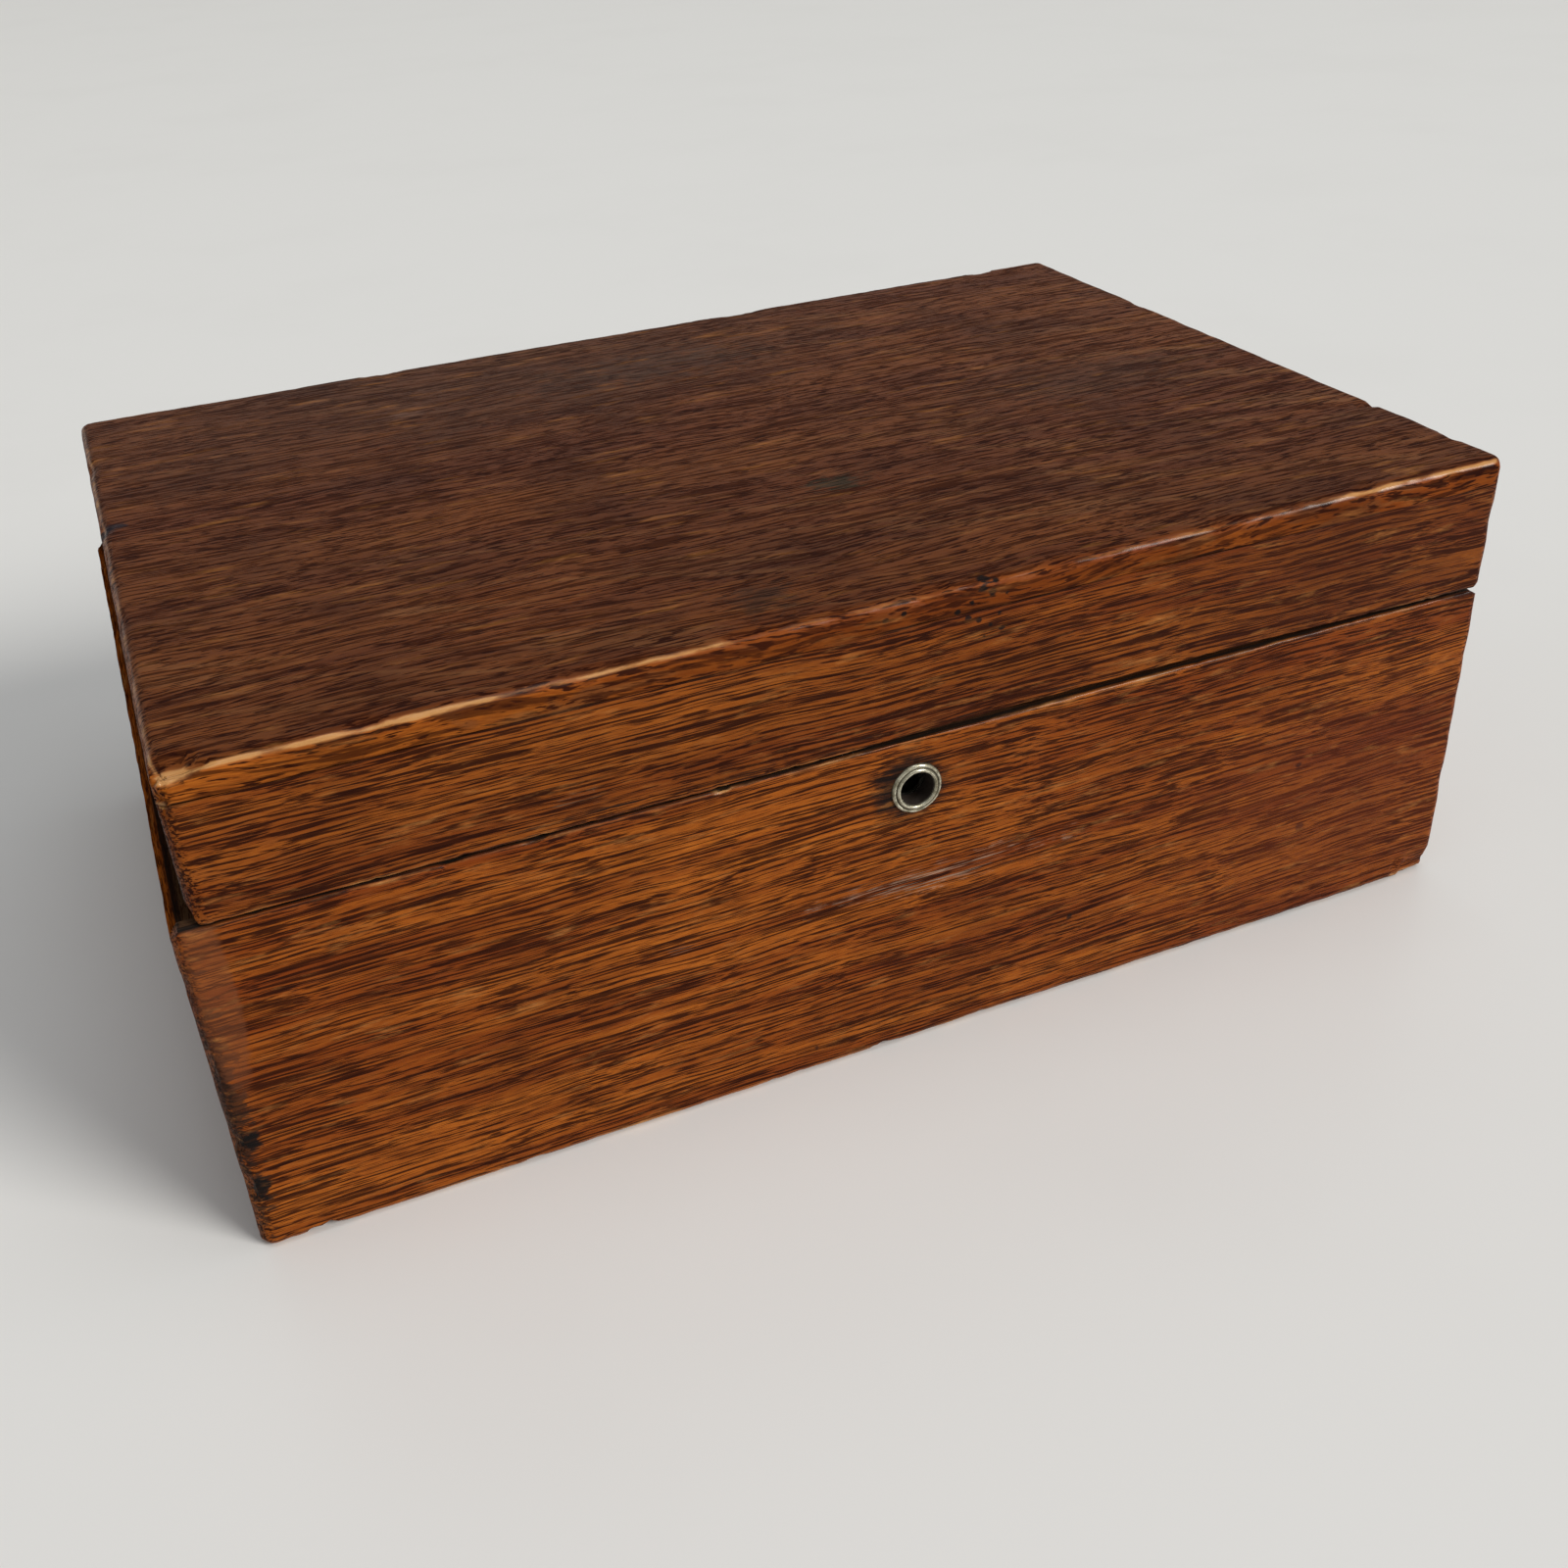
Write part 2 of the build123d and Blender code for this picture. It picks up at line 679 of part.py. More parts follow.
# Link plate in the lid's rim, with two staples that drop through the selvedge
with BuildPart() as link_plate:
    add(
        block(
            -link_plate_length / 2,
            link_plate_length / 2,
            link_low_y,
            -inner_y,
            lid_low,
            lid_low + lock_plate_thick,
        )
    )
    staple_low = bar_top + staple_space
    for middle in staple_places:
        with BuildSketch(Plane.YZ.offset(middle - staple_thick / 2)):
            with Locations((works_y, (staple_low + lid_low) / 2)):
                Rectangle(staple_width, lid_low - staple_low)
            with Locations((works_y, (claw_low + claw_high) / 2)):
                eye_height = bolt_claw_height + 2 * staple_space
                Rectangle(staple_width - 2 * staple_wall, eye_height, mode=Mode.SUBTRACT)
        extrude(amount=staple_thick)
    countersunk_holes(link_screw_planes, lock_plate_thick)
save(link_plate, "link_plate")

# Moistener case, open downwards, with a flange along each side that runs in the rails
case_top = lid_pane_low - slide_fit
case_low = case_top - case_height

with BuildPart() as moistener_case:
    with BuildSketch(Plane.XY.offset(case_low)):
        RectangleRounded(case_length, case_width, case_corner)
    extrude(amount=case_height)
    with BuildSketch(Plane.XY.offset(case_low)):
        RectangleRounded(case_length - 2 * case_wall, case_width - 2 * case_wall, case_corner - case_wall)
    extrude(amount=case_height - case_wall, mode=Mode.SUBTRACT)
    with BuildSketch(Plane.XY.offset(case_top - flange_thick)):
        Rectangle(case_length, case_width + 2 * case_flange)
        RectangleRounded(case_length, case_width, case_corner, mode=Mode.SUBTRACT)
        for side in (-1, 1):
            with Locations((0, side * case_width / 2)):
                Rectangle(case_length, 2 * case_wall)
    extrude(amount=flange_thick)
save(moistener_case, "moistener_case")

with BuildPart() as moistener_grille:
    rim_space = slide_fit / 3
    outer_length = case_length + 2 * (rim_space + grille_thick)
    outer_width = case_width + 2 * (rim_space + grille_thick)
    grille_low = case_low - rim_space - grille_thick
    with BuildSketch(Plane.XY.offset(grille_low)):
        RectangleRounded(outer_length, outer_width, case_corner + rim_space + grille_thick)
    extrude(amount=grille_thick + grille_rim)
    chamfer(moistener_grille.faces().sort_by(Axis.Z)[0].edges(), grille_thick / 2)
    with BuildSketch(Plane.XY.offset(grille_low + grille_thick)):
        RectangleRounded(case_length + 2 * rim_space, case_width + 2 * rim_space, case_corner + rim_space)
    extrude(amount=grille_rim, mode=Mode.SUBTRACT)
    with BuildSketch(Plane.XY.offset(grille_low)):
        with GridLocations(grille_pitch_x, grille_pitch_y, grille_columns, grille_rows):
            SlotOverall(grille_slot_length, grille_slot_width)
    extrude(amount=grille_thick, mode=Mode.SUBTRACT)
save(moistener_grille, "moistener_grille")

with BuildPart() as moistener_block:
    block_length = case_length - 2 * (case_wall + block_space)
    block_width = case_width - 2 * (case_wall + block_space)
    with BuildSketch(Plane.XY.offset(case_low + block_space - rim_space)):
        RectangleRounded(block_length, block_width, case_corner - case_wall)
    extrude(amount=case_height - case_wall - 2 * block_space)
save(moistener_block, "moistener_block")

# Rails: two bent strips screwed up through the top pane, each with a lip and an end stop
with BuildPart() as moistener_rails:
    rail_length = case_length + 2 * (rail_stop + slide_fit)
    web_y = case_width / 2 + case_flange + slide_fit
    lip_y = case_width / 2 + case_flange - rail_lip + 2 * slide_fit
    lip_low = rail_top - flange_thick - 2 * slide_fit - rail_thick
    for side in (-1, 1):
        with BuildSketch(Plane.YZ.offset(-rail_length / 2)):
            with BuildLine():
                Polyline(
                    (side * lip_y, lip_low),
                    (side * (web_y + rail_thick), lip_low),
                    (side * (web_y + rail_thick), rail_top - rail_thick),
                    (side * (web_y + rail_thick + rail_foot), rail_top - rail_thick),
                    (side * (web_y + rail_thick + rail_foot), rail_top),
                    (side * web_y, rail_top),
                    (side * web_y, lip_low + rail_thick),
                    (side * lip_y, lip_low + rail_thick),
                    close=True,
                )
            make_face()
        extrude(amount=rail_length)
        with BuildSketch(Plane.YZ.offset(-rail_length / 2)):
            with Locations((side * (lip_y + web_y) / 2, (lip_low + rail_top) / 2)):
                Rectangle(web_y - lip_y, rail_top - lip_low)
        extrude(amount=rail_stop)
    countersunk_holes(rail_screw_planes, rail_thick)
save(moistener_rails, "moistener_rails")
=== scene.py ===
import bpy
import bmesh
import math
import time
import numpy as np
from mathutils import Matrix, Vector


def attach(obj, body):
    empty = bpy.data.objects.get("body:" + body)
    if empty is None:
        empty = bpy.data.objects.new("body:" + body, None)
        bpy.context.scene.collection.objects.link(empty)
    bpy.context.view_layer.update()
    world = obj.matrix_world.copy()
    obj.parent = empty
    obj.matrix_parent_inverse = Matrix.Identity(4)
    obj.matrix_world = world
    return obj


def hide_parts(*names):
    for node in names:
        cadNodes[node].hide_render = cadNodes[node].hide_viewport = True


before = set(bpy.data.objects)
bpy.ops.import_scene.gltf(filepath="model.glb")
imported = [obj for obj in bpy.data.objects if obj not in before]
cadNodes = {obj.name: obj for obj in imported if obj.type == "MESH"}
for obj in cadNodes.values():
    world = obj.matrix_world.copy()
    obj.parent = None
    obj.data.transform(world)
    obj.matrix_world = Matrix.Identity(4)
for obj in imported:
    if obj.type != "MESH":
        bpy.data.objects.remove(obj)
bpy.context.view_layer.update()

# An old oak cigar humidor with an opal glass lining, on a pale table.
# Metres, with the middle of the underside at the origin. Sizes in the dictionaries are in millimetres.
mm = 0.001
frontY = -95.25


# Camera at the photograph's viewing angle
cameraSetup = {
    "place": (-0.1253968, -0.3412119, 0.2367402),  # metres
    "heading": 21.604,   # degrees from straight ahead towards the right
    "lookDown": 31.788,
    "roll": -3.244,
    "lens": 37.837,
    "sensor": 36,
    "nearest": 0.01,     # metres
}


def makeCamera(setup):
    turn = Matrix.Rotation(math.radians(-setup["heading"]), 4, "Z")
    tilt = Matrix.Rotation(math.radians(90 - setup["lookDown"]), 4, "X")
    roll = Matrix.Rotation(math.radians(setup["roll"]), 4, "Z")
    camera = bpy.data.objects.new("photoCamera", bpy.data.cameras.new("photoCamera"))
    camera.matrix_world = Matrix.Translation(setup["place"]) @ turn @ tilt @ roll
    camera.data.lens = setup["lens"]
    camera.data.sensor_width = setup["sensor"]
    camera.data.clip_start = setup["nearest"]
    bpy.context.scene.collection.objects.link(camera)
    bpy.context.scene.camera = camera


makeCamera(cameraSetup)
bpy.context.scene.view_settings.view_transform = "Standard"
print("camera placed")


# Small helpers for node trees
def put(tree, kind, inputs=None, **settings):
    made = tree.nodes.new(kind)
    for name, value in settings.items():
        setattr(made, name, value)
    for key, value in (inputs or {}).items():
        if isinstance(value, bpy.types.NodeSocket):
            tree.links.new(value, made.inputs[key])
        else:
            made.inputs[key].default_value = value
    return made


def calc(tree, operation, first, second, clamp=False):
    return put(tree, "ShaderNodeMath", {0: first, 1: second}, operation=operation, use_clamp=clamp).outputs[0]


def plus(tree, first, second, clamp=False):
    return calc(tree, "ADD", first, second, clamp)


def minus(tree, first, second):
    return calc(tree, "SUBTRACT", first, second)


def times(tree, first, second, clamp=False):
    return calc(tree, "MULTIPLY", first, second, clamp)


def vectors(tree, operation, first, second):
    return put(tree, "ShaderNodeVectorMath", {0: first, 1: second}, operation=operation).outputs[0]


def turned(tree, place, angle):
    return put(tree, "ShaderNodeVectorRotate", {"Vector": place, "Angle": angle}, rotation_type="Z_AXIS").outputs[0]


def meshValue(tree, name):
    return put(tree, "ShaderNodeAttribute", attribute_name=name).outputs["Fac"]


def send(tree, target, values):
    for name, value in values.items():
        tree.links.new(value, target[name])


def remap(tree, value, low, high, toLow=0.0, toHigh=1.0):
    made = put(tree, "ShaderNodeMapRange", {0: value, 1: low, 2: high, 3: toLow, 4: toHigh})
    made.interpolation_type = "SMOOTHSTEP"
    return made.outputs[0]


def stretch(tree, place, factors):
    return vectors(tree, "MULTIPLY", place, factors)


def noiseAt(tree, place, scale=1.0, detail=2.0, roughness=0.5, distortion=0.0):
    values = {"Vector": place, "Scale": scale, "Detail": detail, "Roughness": roughness, "Distortion": distortion}
    return put(tree, "ShaderNodeTexNoise", values).outputs[0]


def blendColour(tree, factor, first, second):
    return put(tree, "ShaderNodeMix", {0: factor, 6: first, 7: second}, data_type="RGBA").outputs[2]


def newGroup(name, inputs, outputs):
    tree = bpy.data.node_groups.new(name, "ShaderNodeTree")
    for label, kind, value in inputs:
        socket = tree.interface.new_socket(name=label, in_out="INPUT", socket_type="NodeSocket" + kind)
        if value is not None:
            socket.default_value = value
    for label in outputs:
        tree.interface.new_socket(name=label, in_out="OUTPUT", socket_type="NodeSocketFloat")
    return tree, tree.nodes.new("NodeGroupInput").outputs, tree.nodes.new("NodeGroupOutput").inputs


def useGroup(tree, group, inputs):
    return put(tree, "ShaderNodeGroup", inputs, node_tree=group).outputs


# Shared effects, each built once. Places are in mm with the grain along X, and the three numbers
# of a stretched noise are how often it changes in a mm along, across and through the grain.
def makeOakGrain():
    tree, given, out = newGroup(
        "oakGrain",
        [("Place", "Vector", None), ("Waviness", "Float", 1.2), ("Pore Length", "Float", 1.0)],
        ["Streaks", "Dashes", "Fibres", "Bands", "Height"],
    )
    place = given["Place"]
    bendPlace = stretch(tree, place, (0.022, 0.05, 0.05))
    bend = put(tree, "ShaderNodeTexNoise", {"Vector": bendPlace, "Scale": 1.0, "Detail": 2.0}).outputs["Color"]
    bend = vectors(tree, "SUBTRACT", bend, (0.5, 0.5, 0.5))
    bend = put(tree, "ShaderNodeVectorMath", {0: bend, "Scale": given["Waviness"]}, operation="SCALE").outputs[0]
    bend = stretch(tree, bend, (0.0, 6.0, 6.0))
    place = vectors(tree, "ADD", place, bend)
    longer = put(tree, "ShaderNodeCombineXYZ", {0: given["Pore Length"], 1: 1.0, 2: 1.0}).outputs[0]
    along = vectors(tree, "DIVIDE", place, longer)
    bands = remap(tree, noiseAt(tree, stretch(tree, place, (0.004, 0.2, 0.2)), 1.0, 3.0, 0.6), 0.32, 0.68)
    dashNoise = noiseAt(tree, stretch(tree, along, (0.26, 3.0, 3.0)), 1.0, 2.0, 0.5)
    dashEdge = remap(tree, bands, 0.0, 1.0, 0.565, 0.515)
    dashes = times(tree, minus(tree, dashNoise, dashEdge), 14.0, True)
    streakNoise = noiseAt(tree, stretch(tree, along, (0.06, 1.9, 1.9)), 1.0, 3.0, 0.6)
    streaks = remap(tree, streakNoise, 0.485, 0.575)
    fibres = noiseAt(tree, stretch(tree, place, (0.3, 6.0, 6.0)), 1.0, 2.0, 0.6)
    sunk = plus(tree, times(tree, dashes, 0.8), times(tree, streaks, 0.35))
    height = minus(tree, times(tree, fibres, 0.35), sunk)
    send(tree, out, {"Streaks": streaks, "Dashes": dashes, "Fibres": fibres, "Bands": bands, "Height": height})
    return tree


def makeRayFlecks():
    # light bands that cross the grain at a slant, where the saw followed the rays
    tree, given, out = newGroup(
        "rayFlecks",
        [("Place", "Vector", None), ("Slant", "Float", 0.3), ("Amount", "Float", 0.5)],
        ["Mask"],
    )
    slanted = turned(tree, given["Place"], given["Slant"])
    band = noiseAt(tree, stretch(tree, slanted, (0.035, 0.42, 0.42)), 1.0, 2.0, 0.5, 0.4)
    patch = noiseAt(tree, stretch(tree, given["Place"], (0.012, 0.016, 0.016)), 1.0, 1.0)
    mask = times(tree, remap(tree, band, 0.53, 0.66), remap(tree, patch, 0.42, 0.62))
    tree.links.new(times(tree, mask, given["Amount"]), out["Mask"])
    return tree


def makeSoftSpot():
    # a stain, scuff or dot: an uneven ellipsoid
    tree, given, out = newGroup(
        "softSpot",
        [("Place", "Vector", None), ("Centre", "Vector", None), ("Size", "Vector", (5.0, 5.0, 5.0)),
         ("Raggedness", "Float", 0.5), ("Softness", "Float", 0.5), ("Strength", "Float", 1.0)],
        ["Mask"],
    )
    away = vectors(tree, "SUBTRACT", given["Place"], given["Centre"])
    away = vectors(tree, "DIVIDE", away, given["Size"])
    reach = put(tree, "ShaderNodeVectorMath", {0: away}, operation="LENGTH").outputs["Value"]
    rough = noiseAt(tree, stretch(tree, given["Place"], (0.25, 0.7, 0.7)), 1.0, 3.0, 0.65)
    rough = times(tree, minus(tree, rough, 0.5), times(tree, given["Raggedness"], 4.0))
    reach = plus(tree, reach, rough)
    inner = minus(tree, 1.0, given["Softness"])
    send(tree, out, {"Mask": remap(tree, reach, 1.0, inner, 0.0, given["Strength"])})
    return tree


def makeEdgeWear():
    # breaks the worn-edge values kept on the mesh into rubbed patches
    tree, given, out = newGroup(
        "edgeWear",
        [("Place", "Vector", None), ("Wear", "Float", 0.0), ("Breakup", "Float", 0.5)],
        ["Rubbed", "Halo"],
    )
    patches = noiseAt(tree, stretch(tree, given["Place"], (0.09, 0.5, 0.5)), 1.0, 4.0, 0.65)
    loss = times(tree, minus(tree, patches, 0.5), times(tree, given["Breakup"], 2.4))
    worn = plus(tree, given["Wear"], loss)
    tree.links.new(remap(tree, worn, 0.42, 0.72), out["Rubbed"])
    tree.links.new(remap(tree, worn, 0.1, 0.6), out["Halo"])
    return tree


def makeGrime():
    # old dirt: broad clouds and fine specks
    tree, given, out = newGroup(
        "grime",
        [("Place", "Vector", None), ("Cloud Size", "Float", 30.0), ("Amount", "Float", 0.5)],
        ["Clouds", "Specks"],
    )
    clouds = noiseAt(tree, given["Place"], calc(tree, "DIVIDE", 1.0, given["Cloud Size"]), 4.0, 0.6)
    specks = noiseAt(tree, stretch(tree, given["Place"], (0.5, 0.9, 0.9)), 1.0, 3.0, 0.7)
    tree.links.new(times(tree, remap(tree, clouds, 0.45, 0.7), given["Amount"]), out["Clouds"])
    tree.links.new(times(tree, remap(tree, specks, 0.68, 0.76), given["Amount"]), out["Specks"])
    return tree


def makeTarnish():
    # uneven tone and fine scratches on metal
    tree, given, out = newGroup(
        "tarnish",
        [("Place", "Vector", None), ("Patch Size", "Float", 4.0), ("Scratch Length", "Float", 6.0)],
        ["Patches", "Scratches", "Height"],
    )
    place = given["Place"]
    patches = noiseAt(tree, place, calc(tree, "DIVIDE", 1.0, given["Patch Size"]), 4.0, 0.65)
    patches = remap(tree, patches, 0.38, 0.66)
    length = calc(tree, "DIVIDE", 1.0, given["Scratch Length"])
    lines = put(tree, "ShaderNodeCombineXYZ", {0: length, 1: 6.0, 2: 6.0}).outputs[0]
    scratches = noiseAt(tree, stretch(tree, place, lines), 1.0, 2.0, 0.6)
    pitted = times(tree, noiseAt(tree, place, 2.6, 3.0, 0.6), patches)
    height = minus(tree, pitted, times(tree, scratches, 0.3))
    send(tree, out, {"Patches": patches, "Scratches": remap(tree, scratches, 0.56, 0.7), "Height": height})
    return tree


oakGrain = makeOakGrain()
rayFlecks = makeRayFlecks()
softSpot = makeSoftSpot()
edgeWear = makeEdgeWear()
grime = makeGrime()
tarnish = makeTarnish()
print("shared effects made")


def newMaterial(name):
    material = bpy.data.materials.new(name)
    material.use_nodes = True
    tree = material.node_tree
    tree.nodes.clear()
    shader = tree.nodes.new("ShaderNodeBsdfPrincipled")
    out = tree.nodes.new("ShaderNodeOutputMaterial")
    tree.links.new(shader.outputs[0], out.inputs["Surface"])
    place = put(tree, "ShaderNodeTexCoord").outputs["Object"]
    return material, tree, shader, stretch(tree, place, (1 / mm, 1 / mm, 1 / mm))


# Varnished oak. Colours are linear.
oakFinish = {
    "light": (0.400, 0.112, 0.0125, 1),
    "deep": (0.165, 0.031, 0.0040, 1),
    "pore": (0.019, 0.0032, 0.0011, 1),
    "fleck": (0.200, 0.080, 0.028, 1),
    "rubbed": (0.500, 0.245, 0.080, 1),
    "raw": (0.075, 0.038, 0.018, 1),
    # colour of dirt specks, and of the painted shade in the parting gap and on the left ends
    "dirtAndShade": (0.012, 0.009, 0.007, 1),
    "roughness": 0.38,
    "poreRoughness": 0.25,  # added in open pores and on raw wood
    "gloss": 0.05,
    "coatRoughness": 0.2,
    "reliefDepth": 0.17,
}


def makeOak(name, finish=oakFinish, alongY=False, shift=(0, 0, 0), depth=0.0, shadeColour=(0.075, 0.020, 0.006, 1),
            flecks=0.2, waviness=1.0, poreLength=1.0, dashAmount=0.75, streakAmount=0.7, clouds=0.25,
            grainScale=1.0, gloss=oakFinish["gloss"], spots=()):
    material, tree, shader, place = newMaterial(name)
    grainPlace = place
    if alongY:
        grainPlace = turned(tree, place, math.radians(90))
    grainPlace = vectors(tree, "ADD", grainPlace, shift)
    if grainScale != 1.0:
        grainPlace = stretch(tree, grainPlace, (grainScale, grainScale, grainScale))
    grain = useGroup(tree, oakGrain, {"Place": grainPlace, "Waviness": waviness, "Pore Length": poreLength})
    tone = noiseAt(tree, stretch(tree, grainPlace, (0.012, 0.05, 0.05)), 1.0, 3.0, 0.55)
    tone = plus(tree, times(tree, tone, 0.7), times(tree, grain["Bands"], 0.3))
    colour = blendColour(tree, remap(tree, tone, 0.22, 0.80), finish["light"], finish["deep"])
    lift = remap(tree, grain["Fibres"], 0.38, 0.62, 0.0, 0.5)
    colour = blendColour(tree, lift, colour, finish["deep"])
    if depth:  # an overall darker face; on the lid's top this is painted shade
        shade = remap(tree, noiseAt(tree, place, 0.02, 3.0, 0.55), 0.2, 0.8, depth * 0.8, depth)
        colour = blendColour(tree, times(tree, shade, meshValue(tree, "upper")), colour, shadeColour)
    fleck = useGroup(tree, rayFlecks, {"Place": grainPlace, "Slant": 0.32, "Amount": flecks})["Mask"]
    colour = blendColour(tree, fleck, colour, finish["fleck"])
    colour = blendColour(tree, times(tree, grain["Streaks"], streakAmount), colour, finish["pore"])
    colour = blendColour(tree, times(tree, grain["Dashes"], dashAmount), colour, finish["pore"])
    old = useGroup(tree, grime, {"Place": place, "Cloud Size": 26.0, "Amount": clouds})
    colour = blendColour(tree, old["Clouds"], colour, finish["pore"])
    colour = blendColour(tree, old["Specks"], colour, finish["dirtAndShade"])
    smooth, dull = finish["roughness"], finish["roughness"] + finish["poreRoughness"]
    roughness = remap(tree, plus(tree, grain["Dashes"], grain["Streaks"]), 0.0, 1.2, smooth, dull)
    if any(spot["streaky"] for spot in spots):
        thinLines = remap(tree, noiseAt(tree, stretch(tree, grainPlace, (0.07, 3.2, 3.2)), 1.0, 2.0, 0.5), 0.54, 0.63)
    for spot in spots:
        mask = useGroup(tree, softSpot, {
            "Place": place, "Centre": spot["at"], "Size": spot["size"], "Raggedness": spot["ragged"],
            "Softness": spot["soft"], "Strength": spot["strength"]})["Mask"]
        if spot["streaky"]:
            mask = times(tree, mask, thinLines)
        colour = blendColour(tree, mask, colour, spot["colour"])
        if spot["dulling"]:
            roughness = plus(tree, roughness, times(tree, mask, spot["dulling"]))
    wearValue = meshValue(tree, "wear")
    worn = useGroup(tree, edgeWear, {"Place": grainPlace, "Wear": wearValue, "Breakup": 0.8})
    warm = blendColour(tree, 0.45, finish["light"], finish["rubbed"])
    colour = blendColour(tree, times(tree, worn["Halo"], 0.55), colour, warm)
    colour = blendColour(tree, times(tree, worn["Rubbed"], 0.85), colour, finish["rubbed"])
    # darkens real dark joints and paints shade into the parting gap, onto the lid's left end and onto the ledge
    dirtAndShadeValue = meshValue(tree, "dirtAndShade")
    colour = blendColour(tree, dirtAndShadeValue, colour, finish["dirtAndShade"])
    insideValue = meshValue(tree, "inside")
    rawColour = blendColour(tree, remap(tree, grain["Dashes"], 0.0, 1.0, 0.0, 0.7), finish["raw"], finish["pore"])
    colour = blendColour(tree, insideValue, colour, rawColour)
    roughness = plus(tree, roughness, times(tree, insideValue, finish["poreRoughness"]))
    broad = times(tree, noiseAt(tree, place, 0.12, 3.0, 0.5), 1.5)
    height = plus(tree, grain["Height"], broad)
    bump = put(tree, "ShaderNodeBump", {"Height": height, "Strength": 0.55, "Distance": finish["reliefDepth"] * mm})
    send(tree, shader.inputs, {"Base Color": colour, "Roughness": roughness, "Normal": bump.outputs[0]})
    coat = times(tree, times(tree, wearValue, 0.7), minus(tree, 1.0, insideValue))
    tree.links.new(coat, shader.inputs["Coat Weight"])
    shader.inputs["Coat Roughness"].default_value = finish["coatRoughness"]
    shader.inputs["Specular IOR Level"].default_value = gloss
    return material


# Marks seen in the photograph: place, half size and colour of each
ink = (0.006, 0.005, 0.005, 1)
darkStain = (0.022, 0.012, 0.008, 1)
paleScuff = (0.36, 0.22, 0.15, 1)


def mark(at, size, colour, soft=0.5, ragged=0.5, strength=0.9, streaky=False, dulling=0.0):
    return {"at": at, "size": size, "colour": colour, "soft": soft, "ragged": ragged, "strength": strength,
            "streaky": streaky, "dulling": dulling}


def inkDot(x, z, size, strength):
    return mark((x, frontY, z), (size, 2.5, size * 0.8), ink, ragged=0.75, strength=strength)


baseFrontMarks = [
    mark((-1.8, frontY, 64.6), (11.0, 3, 9.2), ink, soft=0.55, ragged=0.22),
    mark((-138.5, frontY, 34.0), (3.6, 4, 30.0), darkStain, ragged=0.9, strength=0.8),
    mark((-136.6, frontY, 27.3), (2.3, 3, 2.1), ink, soft=0.35, strength=0.95),
    mark((-137.2, frontY, 15.5), (2.1, 3, 2.9), ink, soft=0.35, strength=0.95),
    mark((6.0, frontY, 41.6), (31.0, 3, 3.8), paleScuff, soft=0.7, ragged=0.6, strength=0.75, streaky=True, dulling=0.2),
    mark((-51.0, frontY, 42.0), (4.6, 3, 1.6), paleScuff, ragged=0.6, strength=0.25, streaky=True, dulling=0.2),
    mark((95.0, frontY, 42.0), (1.1, 3, 1.0), ink, strength=0.8),
    mark((97.5, frontY, 25.0), (1.3, 3, 1.0), ink, strength=0.7),
    mark((37.0, frontY, 20.0), (0.9, 3, 0.9), ink, strength=0.8),
    mark((-24.0, frontY, 6.0), (1.0, 3, 0.8), ink, strength=0.7),
    mark((-135.5, frontY, 60.0), (4.2, 4, 24.0), (0.15, 0.05, 0.022, 1), soft=0.25, ragged=0.12, strength=0.5, dulling=0.2),
    mark((108.0, frontY, 30.0), (72.0, 4, 46.0), (0.10, 0.018, 0.006, 1), soft=0.9, ragged=0.3, strength=0.5),
]
lidFrontMarks = [
    mark((108.0, frontY, 88.0), (75.0, 4, 30.0), (0.045, 0.010, 0.004, 1), soft=0.9, ragged=0.3, strength=0.45),
    mark((-67.0, frontY, 81.0), (5.0, 3, 2.0), (0.20, 0.15, 0.10, 1), ragged=0.8, strength=0.3, streaky=True, dulling=0.15),
    mark((21.0, frontY, 82.5), (4.0, 3, 0.9), ink, ragged=0.6, strength=0.6, streaky=True),
    mark((-40.0, frontY, 77.4), (95.0, 3, 1.0), darkStain, strength=0.8, streaky=True),
]
lidFrontMarks += [inkDot(x, z, size, 0.9) for x, z, size in (
    (13.5, 97.2, 0.8), (16.0, 95.6, 0.9), (17.8, 97.8, 0.7), (14.6, 93.6, 0.6), (18.4, 94.4, 0.7), (11.2, 98.3, 0.6))]
topMarks = [
    # darker towards the back-left of the top
    mark((-50.0, 75.0, 105), (150.0, 75.0, 6), (0.034, 0.015, 0.010, 1), soft=0.95, ragged=0.3, strength=0.5),
    mark((0.0, frontY, 101.0), (170.0, 1.6, 4.6), (0.060, 0.014, 0.004, 1), soft=0.7, ragged=0.2, strength=0.4),
    mark((-68.0, -70.0, 105), (22.0, 26.0, 6), (0.30, 0.085, 0.020, 1), soft=0.9, ragged=0.4, strength=0.45, streaky=True),
    mark((-25.0, -82.0, 105), (9.0, 9.0, 6), darkStain, soft=0.8, ragged=0.7, strength=0.6),
    mark((11.0, -37.0, 105), (8.0, 5.0, 6), (0.016, 0.018, 0.011, 1), soft=0.7, ragged=0.8, strength=0.75),
    mark((5.0, 62.0, 105), (44.0, 18.0, 6), (0.028, 0.017, 0.014, 1), soft=0.9, strength=0.5),
    mark((92.0, -5.0, 105), (40.0, 24.0, 6), (0.034, 0.018, 0.013, 1), soft=0.9, strength=0.4),
    mark((-62.0, 57.0, 105), (5.0, 3.0, 6), (0.16, 0.085, 0.06, 1), soft=0.8, strength=0.4),
    mark((-134.0, 18.0, 104), (4.0, 3.5, 6), (0.012, 0.013, 0.02, 1), strength=0.8),
]
topMarks += [inkDot(x, z, size, 0.95) for x, z, size in (
    (14.5, 103.4, 1.2), (16.2, 102.4, 0.9), (17.6, 104.2, 1.1), (15.4, 104.8, 1.3), (9.0, 100.0, 0.8),
    (-2.5, 102.2, 0.7), (-6.0, 101.6, 0.8), (12.0, 101.2, 0.6), (19.5, 101.6, 0.6))]

